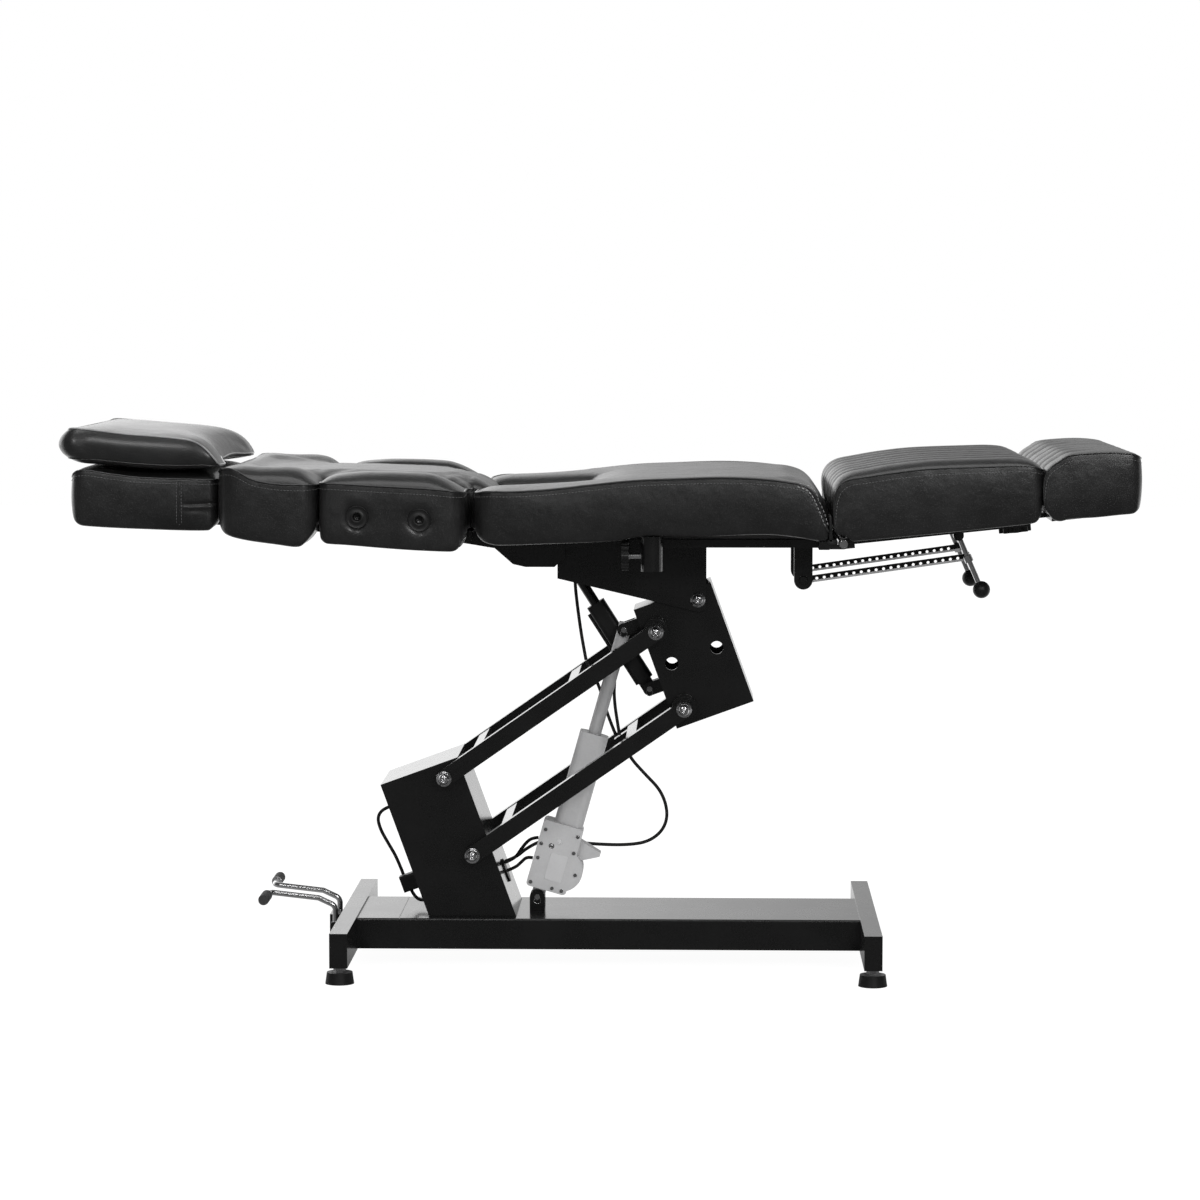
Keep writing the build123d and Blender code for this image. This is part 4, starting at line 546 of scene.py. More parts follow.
# soft is how often the outward directions are evened out, rows are the side rows' shares of the height,
# reach is the share of a half wave that the belly spans, and turns are the lower edge's angles
plainShape = {
    "soft": 2, "leftBelly": 0, "reach": 1.0, "edgeShare": 0.42, "drawIn": 60, "bellyHeight": 60,
    "rows": (0.02, 0.05, 0.1, 0.18, 0.28, 0.4, 0.52, 0.64, 0.76, 0.88, 1.0), "turns": (25, 50, 72),
}


def cushionShell(name, top, bottom, keep, corners, settings):
    # side rows run straight down from the seam, out by belly * sin(pi * share)^0.7, then round the lower edge
    shape = {**plainShape, **settings}
    i, j = rimWalk(corners)
    upper, lower = top[i, j], bottom[i, j]
    flow = unit(np.roll(lower, -1, 0) - np.roll(lower, 1, 0))
    out = unit(np.stack([flow[:, 1], -flow[:, 0], np.zeros(len(flow))], 1))
    for _ in range(shape["soft"]):
        out = unit(out + 0.5 * (np.roll(out, 1, 0) + np.roll(out, -1, 0)))
    height = np.linalg.norm(upper - lower, axis=1)
    edge = np.minimum(shape["edge"], shape["edgeShare"] * height)
    used = np.zeros(top.shape[:2], bool)
    for a in (0, 1):
        for b in (0, 1):
            used[a:used.shape[0] - 1 + a, b:used.shape[1] - 1 + b] |= keep
    index = np.full(used.shape, -1)
    index[used] = np.arange(used.sum())
    n = int(used.sum())
    # the lower grid draws in by the edge's radius, less and less away from its rim
    flat = bottom[used]
    apart = np.linalg.norm(flat[:, None, :2] - lower[None, :, :2], axis=2)
    nearest = apart.argmin(1)
    fade = np.clip(1 - apart.min(1) / shape["drawIn"], 0, 1) ** 2
    flat = flat - out[nearest] * (edge[nearest] * fade)[:, None]
    down = unit(lower - upper)
    rows = []
    leftward = np.clip(-out[:, 0], 0, 1) * (shape["leftBelly"] > 0)
    fullness = shape["belly"] + (shape["leftBelly"] - shape["belly"]) * leftward
    straight = height - edge
    for s in shape["rows"]:
        wave = math.sin(math.pi * s * shape["reach"]) ** 0.7
        belly = fullness * wave * np.minimum(height / shape["bellyHeight"], 1)
        rows.append(upper + down * (straight * s)[:, None] + out * belly[:, None])
    for turn in shape["turns"]:
        c, s = math.cos(math.radians(turn)), math.sin(math.radians(turn))
        inward = edge * (1 - c) - belly * (1 - s)
        rows.append(upper + down * (straight + edge * s)[:, None] - out * inward[:, None])
    m = len(i)
    sides = np.concatenate(rows)
    verts = np.concatenate([top[used], flat, sides])
    a, b = np.nonzero(keep)
    upFaces = np.stack([index[a, b], index[a + 1, b], index[a + 1, b + 1], index[a, b + 1]], 1)
    downFaces = upFaces[:, ::-1] + n
    rings = [index[i, j]] + [2 * n + k * m + np.arange(m) for k in range(len(rows))] + [index[i, j] + n]
    bands = [np.stack([p, q, np.roll(q, -1), np.roll(p, -1)], 1) for p, q in zip(rings, rings[1:])]
    faces = np.concatenate([upFaces, downFaces] + bands)
    piece = makePiece(name, verts, faces)
    return piece, {"rings": rings, "out": out, "index": index, "count": n}


clothSettings = {
    "quality": 5, "mass": 0.35, "tension_stiffness": 18, "compression_stiffness": 18, "shear_stiffness": 8,
    "bending_stiffness": 1.2, "use_pressure": True,
}


def puff(piece, held, pressure, cap, frames=20):
    # cloth under pressure swells every panel between the held seams, by cap at most
    mesh = piece.data
    start = np.empty(len(mesh.vertices) * 3)
    mesh.vertices.foreach_get("co", start)
    start = start.reshape(-1, 3)
    pins = piece.vertex_groups.new(name="held")
    pins.add([int(k) for k in np.unique(held)], 1.0, "REPLACE")
    cloth = piece.modifiers.new("cloth", "CLOTH")
    for key, value in clothSettings.items():
        setattr(cloth.settings, key, value)
    cloth.settings.vertex_group_mass = "held"
    cloth.settings.uniform_pressure_force = pressure
    cloth.settings.effector_weights.gravity = 0.0
    cloth.collision_settings.use_collision = False
    cloth.collision_settings.use_self_collision = False
    cloth.point_cache.frame_start, cloth.point_cache.frame_end = 1, frames
    for step in range(1, frames + 1):
        bpy.context.scene.frame_set(step)
    solved = piece.evaluated_get(bpy.context.evaluated_depsgraph_get()).to_mesh()
    ended = np.empty(len(start) * 3)
    solved.vertices.foreach_get("co", ended)
    piece.evaluated_get(bpy.context.evaluated_depsgraph_get()).to_mesh_clear()
    moved = ended.reshape(-1, 3) - start
    length = np.linalg.norm(moved, axis=1, keepdims=True)
    moved *= np.minimum(1, cap * 0.001 / np.maximum(length, 1e-9))
    piece.modifiers.remove(cloth)
    piece.vertex_groups.clear()
    mesh.vertices.foreach_set("co", (start + moved).ravel())
    mesh.update()
    bpy.context.scene.frame_set(1)
    print("puffed", piece.name, round(float(length.max()) * 1000, 1), "mm at most")


def finishCushion(piece, body, nodes, finish="leather"):
    # one smoothing level, then its finish and body, in place of its CAD nodes, which are hidden
    smoother = piece.modifiers.new("smooth", "SUBSURF")
    smoother.levels = smoother.render_levels = 1
    dress(piece, finish, body)
    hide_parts(*nodes)


def points(piece):
    # the piece's vertices in millimetres from the base's middle
    co = np.empty(len(piece.data.vertices) * 3)
    piece.data.vertices.foreach_get("co", co)
    return co.reshape(-1, 3) * 1000 - (baseX, 0, 0)


def stuffed(name, top, bottom, settings, sign=1, keep=None, corners=None, sewn=()):
    # a shell whose panels swell between the seam, the sewn columns and the underside
    if sign < 0:
        top, bottom = top[:, ::-1] * (1, -1, 1), bottom[:, ::-1] * (1, -1, 1)
    nx, ny = top.shape[:2]
    if keep is None:
        keep = np.ones((nx - 1, ny - 1), bool)
        corners = [(0, 0), (nx - 1, 0), (nx - 1, ny - 1), (0, ny - 1)]
    piece, parts = cushionShell(name, top, bottom, keep, corners, settings["shape"])
    n = parts["count"]
    columns = [parts["index"][:, j] for j in sewn]
    held = np.concatenate([parts["rings"][0], *columns, np.arange(n, 2 * n), *parts["rings"][-3:]])
    puff(piece, held, settings["pressure"], settings["cap"])
    return piece, parts


def welt(name, path, side, radius, body, closed=True, finish="piping"):
    # piping: a thin tube laid along a seam
    verts, faces = tubeAlong(path, side, radius, 8, closed)
    return dress(makePiece(name, verts, faces), finish, body)


def stitches(name, path, side, body, closed=True, pitch=5.6, length=3.6, radius=0.42, finish="thread"):
    # short capsules end to end along a line just outside the surface
    way = np.concatenate([path, path[:1]]) if closed else path
    lean = np.concatenate([side, side[:1]]) if closed else side
    along = np.concatenate([[0], np.cumsum(np.linalg.norm(np.diff(way, axis=0), axis=1))])
    middles = np.arange(pitch / 2, along[-1] - pitch / 2, pitch)

    def at(s, w):
        # the line's values at these lengths
        return np.stack([np.interp(s, along, w[:, k]) for k in range(3)], 1)

    head, tail = at(middles + length / 2, way), at(middles - length / 2, way)
    flow = unit(head - tail)
    first = unit(at(middles, lean))
    second = unit(np.cross(flow, first))
    shares = np.array([-0.5, -0.42, 0.0, 0.42, 0.5])
    girth = np.array([0.25, 0.8, 1.0, 0.8, 0.25]) * radius
    sides = 6
    angle = np.linspace(0, 2 * np.pi, sides, endpoint=False)
    centre = at(middles, way)
    verts = (
        centre[:, None, None] + flow[:, None, None] * (shares * length)[None, :, None, None]
        + girth[None, :, None, None] * (first[:, None, None] * np.cos(angle)[None, None, :, None]
                                        + second[:, None, None] * np.sin(angle)[None, None, :, None])
    )
    each = len(shares) * sides
    counts = (len(middles), len(shares) - 1, sides)
    k, r, c = np.meshgrid(*(np.arange(count) for count in counts), indexing="ij")
    c2 = (c + 1) % sides
    base = k * each + r * sides
    quads = np.stack([base + c, base + c2, base + sides + c2, base + sides + c], -1).reshape(-1, 4).tolist()
    starts = (np.arange(len(middles)) * each)[:, None]
    caps = starts + np.arange(sides)[::-1]
    ends = starts + each - sides + np.arange(sides)
    piece = makePiece(name, verts.reshape(-1, 3), quads + caps.tolist() + ends.tolist())
    return dress(piece, finish, body)


def topSeam(name, piece, parts, body, radius, rise=0.5, lift=0.3):
    # piping along the top's rim, and a row of stitches a little below it
    co, out = points(piece), parts["out"]
    pathOut = unit(out + (0, 0, rise))
    welt(name + "_piping", co[parts["rings"][0]] + pathOut * lift, pathOut, radius, body)
    stitches(name + "_stitches", co[parts["rings"][3]] + out * 0.35, out, body)


# Lower faces of the back's and the leg rests' frames, as sloping lines
backLine = {"x": -265, "z": 745, "rise": 3.2}
legLine = {"x": 403.5, "z": 762, "rise": 6}


def backLow(x):
    # z of the back frame's line at x, higher towards the head
    return backLine["z"] + (backLine["x"] - np.asarray(x, float)) * math.tan(math.radians(backLine["rise"]))


def legLow(x):
    # z of the leg frames' line at x, higher towards the feet
    return legLine["z"] + (np.asarray(x, float) - legLine["x"]) * math.tan(math.radians(legLine["rise"]))


def aboveLeg(x, height):
    # z of a face that stands this far off the leg frames' line, square to it
    return legLow(x) - 2 + height / math.cos(math.radians(legLine["rise"]))


def gridRows(*stretches):
    # grid lines of several stretches, each (low, high, count, crowd), joined at their shared edges
    lines = [crowded(a, b, n, c) for a, b, n, c in stretches]
    return np.concatenate([lines[0]] + [line[1:] for line in lines[1:]])


def rounded(distance, radius):
    # how far a plan corner of this radius draws in at this distance from its end
    d = np.clip(radius - distance, 0, radius)
    return radius - np.sqrt(np.maximum(radius**2 - d**2, 0))


def drawnIn(y, inner, outer, distance, radius):
    # the width past inner shrinks, so that the corner at outer is round in plan
    share = 1 - rounded(distance, radius) / (outer - inner)
    return np.sign(y) * (inner + (np.abs(y) - inner) * share)


def normalsOf(profile):
    # the profile's direction, turned a quarter to the left
    flow = unit(np.gradient(profile, axis=0))
    return np.stack([-flow[:, 1], flow[:, 0]], 1)


def raised(profile, puffed, across):
    # a grid of profile points, each moved along its normal by the stuffing's height
    normals = normalsOf(profile)
    x = profile[:, None, 0] + normals[:, None, 0] * puffed
    z = profile[:, None, 1] + normals[:, None, 1] * puffed
    return np.stack([x, across, z], -1)


# Cushion settings: profile and low are (x, z) lines of the side panel's seam and lower edge,
# crown is how far the top stands over the seam, and cap limits the cloth's own movement

# Seat: two horns beside a notch, a top that rolls over the front edge
seat = {
    "profile": [(-222, 845), (-200, 848), (-160, 848), (-120, 850), (-74, 854), (13, 864), (60, 868),
                (112, 870), (185, 872.5), (230, 872), (272, 869.5), (310, 865), (332, 860.5), (345, 854),
                (353, 844), (360, 828), (366, 812), (372, 795), (377, 781)],
    "low": [(-222, 770), (-215, 763), (-200, 759), (-182, 757), (-100, 759.5), (13, 764), (45, 769),
            (60, 773.5), (96, 773.5), (150, 772.5), (200, 774), (272, 776), (328, 771), (360, 765.5),
            (377, 764.6)],
    "crown": [(-222, 0), (-212, 2), (-201, 4), (-160, 5), (-116, 5), (9, 1), (186, -3), (274, -1),
              (318, 4), (349, 11), (366, 12), (377, 8)],
    "notch": (-40, 125), "rollDown": 13, "half": 300, "deck": 764.4, "deckHalf": 236,
    "ends": (-222, 377), "tipRadius": 34, "frontRadius": 8, "foldStart": 318, "sideLine": 237,
    "sideRoll": 120, "notchRoll": 70, "dipRoll": 42,
    "hollow": {"depth": 0.16, "width": 120, "start": (-60, 60)},
    "socket": {"x": 78, "y": 272, "radius": 24, "z": 773.2},
    "shape": {"edge": 9, "belly": 2.5}, "pressure": 3.2, "cap": 4.5,
    "doubleSewing": {"closed": False, "pitch": 7.4, "length": 4.6, "radius": 0.75, "finish": "paleThread"},
}


def makeSeat():
    # crown times the rolls of all edges, hollowed a little along the middle, on the bent profile
    s = seat
    nx = 58
    left, right = s["ends"]
    notchX, notchY = s["notch"]
    half = s["half"]
    shares = np.linspace(0, 1, nx)
    profile = smoothPath(s["profile"], nx, 0.35)
    # a grid column on the notch's end
    k = int(np.abs(profile[:, 0] - notchX).argmin())
    profile[k, 0] = notchX
    line = s["sideLine"]
    ys = gridRows((-half, -line, 9, 0.5), (-line, -notchY, 12, 0.45), (-notchY, notchY, 22, 0.3),
                  (notchY, line, 12, 0.45), (line, half, 9, 0.5))
    ny = len(ys)
    jLow, jHigh = int(np.abs(ys + notchY).argmin()), int(np.abs(ys - notchY).argmin())
    x, y = np.meshgrid(profile[:, 0], ys, indexing="ij")
    crown = levelAt(s["crown"], profile[:, 0])
    apart = np.hypot(np.maximum(np.abs(y) - notchY, 0), np.maximum(x - notchX, 0))
    dip = s["hollow"]
    hollow = 1 - dip["depth"] * np.exp(-(y / dip["width"]) ** 2) * ease(x, *dip["start"])
    puffed = crown[:, None] * roll(half - np.abs(y), s["sideRoll"]) * roll(apart, s["notchRoll"]) * hollow
    puffed -= s["rollDown"] * (1 - roll(apart, s["dipRoll"]))
    # horn tips are round in plan, the outer front corners barely
    middle = (notchY + half) / 2
    y1 = np.where(np.abs(y) > notchY - 1, drawnIn(y, middle, half, x - left, s["tipRadius"]), y)
    y1 = np.where(x > 300, drawnIn(y1, 0, half, right - x, s["frontRadius"]), y1)
    top = raised(profile, puffed, y1)
    # below: feet spread along the lower edge under the rolled front
    spread = ease(shares, 0.55, 1.0)
    lowX = profile[:, 0] * (1 - spread) + (left + (right - left) * shares) * spread
    lowX = np.maximum.accumulate(lowX)
    edgeZ = levelAt(s["low"], lowX)
    inside = 1 - ease(np.abs(y1), s["deckHalf"], s["deckHalf"] + 9)
    lowZ = edgeZ[:, None] * (1 - inside) + s["deck"] * inside
    # a pocket over each armrest socket
    socket = s["socket"]
    near = np.hypot(lowX[:, None] - socket["x"], np.abs(y1) - socket["y"])
    lowZ = np.maximum(lowZ, np.where(near < socket["radius"], socket["z"], 0))
    bottom = np.stack([np.broadcast_to(lowX[:, None], y.shape), y1, lowZ], -1)
    keep = np.ones((nx - 1, ny - 1), bool)
    keep[:k, jLow:jHigh] = False
    corners = [(0, 0), (nx - 1, 0), (nx - 1, ny - 1), (0, ny - 1),
               (0, jHigh), (k, jHigh), (k, jLow), (0, jLow)]
    piece, parts = stuffed("seat_pad", top, bottom, s, keep=keep, corners=corners)
    topSeam("seat", piece, parts, "seat", 2.0, 0.45, 0.4)
    # the front corners' seams are sewn twice with a pale thread
    co = points(piece)
    first = int(np.argmax(profile[:, 0] > s["foldStart"]))
    for word, sign, start in (("near", -1, first), ("far", 1, nx + ny - 2)):
        run = np.arange(start, start + nx - 1 - first)
        rim = parts["rings"][2][run]
        inner = parts["index"][first:nx - 1, 2 if sign < 0 else ny - 3]
        lean = np.tile((0.0, float(sign), 0.0), (len(run), 1))
        up = np.tile(unit(np.array([0.75, 0.0, 0.66])), (len(run), 1))
        stitches(word + "_seat_double_stitches", co[rim] + lean * 0.7, lean, "seat", **s["doubleSewing"])
        stitches(word + "_seat_top_stitches", co[inner] + up * 0.9, up, "seat", **s["doubleSewing"])
    finishCushion(piece, "seat", ["seat_cushion"])


makeSeat()
print("seat made")


# A black rubber strip on the seat's front edge is painted shade: a dark sheet that fills the leg hinges' gap,
# where there is only shadow.
# Each bar is its x from and to, its middle's z and its height.
strip = {
    "bars": (((376.0, 394.0), 762.9, 9.0), ((379.0, 384.6), 785.0, 42.0)), "half": 289.5, "split": 3.0,
    "steps": 12, "sides": 20,
}


def hingeGapShade():
    # a rounded bar section, cos^0.35 wide and sin^0.6 high, carried across the chair
    parts = []
    steps, sides = strip["steps"], strip["sides"]
    runs = ((-strip["half"], -strip["split"]), (strip["split"], strip["half"]))
    angle = np.linspace(0, 2 * np.pi, sides, endpoint=False)
    for (low, high), ((x0, x1), level, thick) in [(run, bar) for run in runs for bar in strip["bars"]]:
        y = np.linspace(low, high, steps)
        width, tall = (x1 - x0) / 2, thick / 2
        sx = (x0 + x1) / 2 + width * np.sign(np.cos(angle)) * np.abs(np.cos(angle)) ** 0.35
        sz = level + tall * np.sign(np.sin(angle)) * np.abs(np.sin(angle)) ** 0.6
        across = np.tile(y[:, None], (1, sides))
        verts = np.stack([np.tile(sx, (steps, 1)), across, np.tile(sz, (steps, 1))], -1)
        k, a = np.meshgrid(np.arange(steps - 1), np.arange(sides), indexing="ij")
        a2 = (a + 1) % sides
        quads = np.stack([k * sides + a, (k + 1) * sides + a, (k + 1) * sides + a2, k * sides + a2], -1)
        first = np.arange(sides)
        last = ((steps - 1) * sides + first)[::-1]
        parts.append((verts.reshape(-1, 3), quads.reshape(-1, 4).tolist() + [first.tolist(), last.tolist()]))
    # black, to stand in for the shadow in the gap
    dress(makePiece("hinge_gap_shade", *joinParts(parts)), "blackRubber", "seat")


hingeGapShade()
print("hinge strip made")


# Back: shoulders, waist and a tongue that dips into the seat's notch
back = {
    "profile": [(-660, 880), (-652, 886), (-640, 887), (-595, 866.5), (-547, 860), (-493, 859), (-440, 858),
                (-380, 855), (-285, 850), (-240, 846), (-222, 842), (-205, 835), (-196, 826), (-191, 814)],
    "low": [(-660, 781), (-652, 774), (-640, 770.5), (-598, 762.5), (-563, 758), (-522, 753), (-506, 762),
            (-490, 780)],
    "crown": [(-660, 0), (-650, 1), (-636, 1), (-595, 10), (-547, 15), (-480, 16), (-380, 17), (-285, 18),
              (-240, 17), (-222, 15), (-205, 11), (-191, 4)],
    "dome": [(-660, 0), (-650, 2), (-638, 3), (-595, 12), (-547, 14), (-520, 13), (-505, 7), (-490, 0)],
    "bounds": (-660, -490, -236, -191), "halves": (300, 184, 121), "deck": 30.4,
    # rolls and corner radii of the sides or head end, shoulders, waist and tongue
    "sideRoll": 60, "shoulderRoll": 60, "waistRoll": 45, "headRoll": 50, "radii": (36, 30, 22, 26),
    # each pleat: (x on the middle, slope, width, depth, fade along y)
    "pleats": ((-252, 0.25, 7, 3.0, (20, 90)), (-228, 0.2, 6, 2.4, (10, 70))),
    "shape": {"edge": 9, "belly": 2.0}, "pressure": 3.2, "cap": 4,
}


def makeBack():
    # crown and shoulder domes times the rolls of all edges, with two pleats across the waist's end
    s = back
    left, waistX, tongueX, right = s["bounds"]
    half, waistY, tongueY = s["halves"]
    xs = gridRows((left, waistX, 22, 0.5), (waistX, tongueX, 28, 0.3), (tongueX, right, 10, 0.3))
    nx = len(xs)
    k1, k2 = 21, 21 + 27
    ys = gridRows((-half, -waistY, 13, 0.45), (-waistY, -tongueY, 8, 0.3), (-tongueY, tongueY, 24, 0.3),
                  (tongueY, waistY, 8, 0.3), (waistY, half, 13, 0.45))
    ny = len(ys)
    a, b = 12, 19
    x, y = np.meshgrid(xs, ys, indexing="ij")
    seam = levelAt(s["profile"], xs)[:, None]
    crown = levelAt(s["crown"], xs)[:, None]
    block1 = np.hypot(np.maximum(waistX - x, 0), np.maximum(waistY - np.abs(y), 0))
    block2 = np.hypot(np.maximum(tongueX - x, 0), np.maximum(tongueY - np.abs(y), 0))
    dome = levelAt(s["dome"], np.clip(xs, left, waistX))[:, None] * ease(np.abs(y), 140, 225)
    rolls = roll(half - np.abs(y), s["sideRoll"]) * roll(block1, s["shoulderRoll"])
    rolls = rolls * roll(block2, s["waistRoll"]) * roll(x - left + 2, s["headRoll"])
    puffed = (crown + dome) * rolls
    # pleats where the waist narrows into the tongue
    for middle, slope, width, depth, fade in s["pleats"]:
        line = (x - middle + slope * np.abs(y)) / width
        puffed -= depth * np.exp(-(line**2)) * ease(np.abs(y), *fade)
    # corners are round in plan at the head end, the shoulders, the waist and the tongue
    headCorner, shoulder, waistCorner, tongueCorner = s["radii"]
    y1 = drawnIn(y, 0, half, x - left, headCorner)
    outer = np.abs(y) > waistY
    y1 = np.where(outer, drawnIn(y1, waistY, half, waistX - x, shoulder), y1)
    waist = (np.abs(y) > tongueY) & (x > waistX) & ~outer
    waist = waist | (outer & (x > waistX - 1))
    y1 = np.where(waist, drawnIn(y1, tongueY, waistY, tongueX - x, waistCorner), y1)
    y1 = np.where(x > tongueX, drawnIn(y, 0, tongueY, right - x, tongueCorner), y1)
    top = np.stack([x, y1, seam + puffed], -1)
    deckTop = backLow(x) + s["deck"]
    rim = levelAt(s["low"], np.clip(x, left, waistX))
    skirt = ease(np.abs(y1), 176.5, 183) * (x < waistX - 1)
    bottom = np.stack([x, y1, rim * skirt + deckTop * (1 - skirt)], -1)
    keep = np.ones((nx - 1, ny - 1), bool)
    keep[k1:, :a] = keep[k1:, ny - 1 - a:] = False
    keep[k2:, :b] = keep[k2:, ny - 1 - b:] = False
    m = ny - 1
    corners = [(0, 0), (k1, 0), (k1, a), (k2, a), (k2, b), (nx - 1, b), (nx - 1, m - b), (k2, m - b),
               (k2, m - a), (k1, m - a), (k1, m), (0, m)]
    piece, parts = stuffed("back_pad", top, bottom, s, keep=keep, corners=corners)
    topSeam("back", piece, parts, "back", 1.7)
    finishCushion(piece, "back", ["back_cushion"])


makeBack()
print("back made")


# Wings: boxed pads with two grommets in their outer sides
wing = {
    "profile": [(-486, 862), (-470, 861), (-420, 857.5), (-380, 855), (-330, 852.5), (-290, 850), (-262, 848),
                (-241, 846)],
    "low": [(-486, 763), (-478, 759.5), (-440, 757), (-380, 752), (-320, 748), (-262, 746), (-250, 748),
            (-241, 762)],
    "crown": [(-486, 0), (-478, 8), (-462, 15), (-440, 19), (-400, 24), (-378, 25), (-330, 26), (-305, 26),
              (-285, 22), (-269, 16), (-256, 10), (-241, 2)],
    "ends": (-486, -241), "sides": (190.3, 299.6), "deck": 30.6, "grommets": ((-422, 805), (-316, 800)),
    "lip": [(19.5, -3.0), (19.5, 0.4), (19.1, 1.1), (18.4, 1.3), (17.9, 1.0), (17.5, 0.3), (17.0, 0.0),
            (13.0, 0.1), (11.0, 0.5), (9.6, 1.2), (8.4, 1.4), (7.4, 1.0), (6.8, 0.0), (6.2, -1.6),
            (6.0, -4.0), (6.0, -14.0), (0.4, -14.0)],
    "press": {"flat": (18.5, 26), "hole": (8, 14.5), "depth": 17, "side": 298.6, "lip": 299.2},
    "rods": {"x": (-440, -360), "rise": 22, "start": 222.6,
             "shape": [(0, 4.2), (1, 4.9), (3, 5), (60, 5), (120, 5), (134, 5), (136.5, 4.2), (137.6, 3.0)]},
    "shape": {"edge": 7, "belly": 1.6}, "pressure": 3.2, "cap": 5,
}


def makeWing(side):
    # crown times the rolls of the edges, lower towards the back cushion
    s = wing
    sign = sideSigns[side]
    left, right = s["ends"]
    inner, outer = s["sides"]
    xs = crowded(left, right, 34, 0.5)
    ys = crowded(inner, outer, 20, 0.5)
    x, y = np.meshgrid(xs, ys, indexing="ij")
    seam = levelAt(s["profile"], xs)[:, None]
    crown = levelAt(s["crown"], xs)[:, None]
    puffed = crown * roll(300 - y, 52) * (0.55 + 0.45 * roll(y - 190, 40)) * roll(y - 189, 12)
    corner = rounded(x - left, 14) + rounded(right - x, 26)
    y1 = y - corner * ease(y, 225, 300) + 0.35 * corner * (1 - ease(y, 190, 260))
    top = np.stack([x, y1, seam + puffed], -1)
    edgeX = np.minimum(x - left, right - x)
    edgeY = np.minimum(y - inner, outer - y)
    inside = ease(edgeX, 8, 13.2) * ease(edgeY, 8, 13.2)
    lowZ = levelAt(s["low"], xs)[:, None] * (1 - inside) + (backLow(x) + s["deck"]) * inside
    bottom = np.stack([x, y1, lowZ], -1)
    piece, parts = stuffed(side + "_wing_cover", top, bottom, s, sign)
    # the outer side is pressed in round each grommet
    co, press = points(piece), s["press"]
    for gx, gz in s["grommets"]:
        away = np.hypot(co[:, 0] - gx, co[:, 2] - gz)
        pressed = 1 - ease(away, *press["flat"])
        outside = np.abs(co[:, 1]) > 280
        hole = 1 - ease(away, *press["hole"])
        flat = co[:, 1] * (1 - pressed) + sign * (press["side"] - press["depth"] * hole) * pressed
        co[:, 1] = np.where(outside, flat, co[:, 1])
    piece.data.vertices.foreach_set("co", toFrame(co).ravel())
    body = side + "_wing"
    topSeam(body, piece, parts, body, 1.8)
    # grommets: a turned lip that dips into the bore
    lips = []
    count = 48
    radii, depth = np.array(s["lip"]).T
    angle = np.linspace(0, 2 * np.pi, count, endpoint=False)
    for gx, gz in s["grommets"]:
        r, a = np.meshgrid(radii, angle, indexing="ij")
        d = np.broadcast_to(depth[:, None], r.shape)
        v = np.stack([gx + r * np.cos(a), sign * (press["lip"] + d), gz + r * np.sin(a)], -1).reshape(-1, 3)
        i, j = np.meshgrid(np.arange(len(radii) - 1), np.arange(count), indexing="ij")
        j2 = (j + 1) % count
        f = np.stack([i * count + j, i * count + j2, (i + 1) * count + j2, (i + 1) * count + j], -1)
        f = f.reshape(-1, 4)
        f = (f[:, ::-1] if sign > 0 else f).tolist()
        floorRing = (len(radii) - 1) * count + np.arange(count)
        f.append((floorRing if sign > 0 else floorRing[::-1]).tolist())
        lips.append((v, f))
    grommets = makePiece(side + "_wing_grommets", *joinParts(lips))
    dress(grommets, "blackPlastic", body)
    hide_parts(side + "_wing")
    # the board's two guide rods, with rounded ends
    rods = []
    share, radius = np.array(s["rods"]["shape"]).T
    for rodX in s["rods"]["x"]:
        level = float(backLow(rodX)) + s["rods"]["rise"]
        steps = len(share)
        across = sign * (s["rods"]["start"] - share)
        path = np.stack([np.full(steps, float(rodX)), across, np.full(steps, level)], 1)
        rods.append(tubeAlong(path, np.tile((0.0, 0.0, 1.0), (steps, 1)), radius, 20))
    rodPiece = makePiece(side + "_wing_rods", *joinParts(rods))
    dress(rodPiece, "chrome", body)
    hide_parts(side + "_wing")
    finishCushion(piece, body, [body])


for side in sideSigns:
    makeWing(side)
print("wings made")


# Head section: a boxed cushion and the wide pillow on it
head = {
    "profile": [(-919, 869), (-914, 876), (-905, 880.5), (-893, 881), (-850, 875), (-799, 869),
                (-730, 866.5), (-668, 865)],
    "low": [(-919, 794), (-912, 788), (-900, 785.5), (-794, 780), (-701, 777.5), (-680, 778), (-668, 785)],
    "crown": [(-919, 0), (-905, 3), (-880, 6), (-840, 8), (-780, 10), (-700, 12), (-680, 9), (-668, 2)],
    "ends": (-919, -668), "half": 245, "deck": 27.6, "seam": -732, "pressure": 3.0, "cap": 4,
    # two folds on each side: (z, slope, depth, width)
    "folds": ((824, 0.05, 2.8, 2.4), (812, -0.05, 2.4, 2.2)),
    "shape": {"edge": 8, "belly": 2.2, "rows": (0.02, 0.05, 0.1, 0.18, 0.28, 0.37, 0.43, 0.47, 0.50, 0.53,
                                                0.56, 0.59, 0.62, 0.66, 0.72, 0.82, 0.92, 1.0)},
}


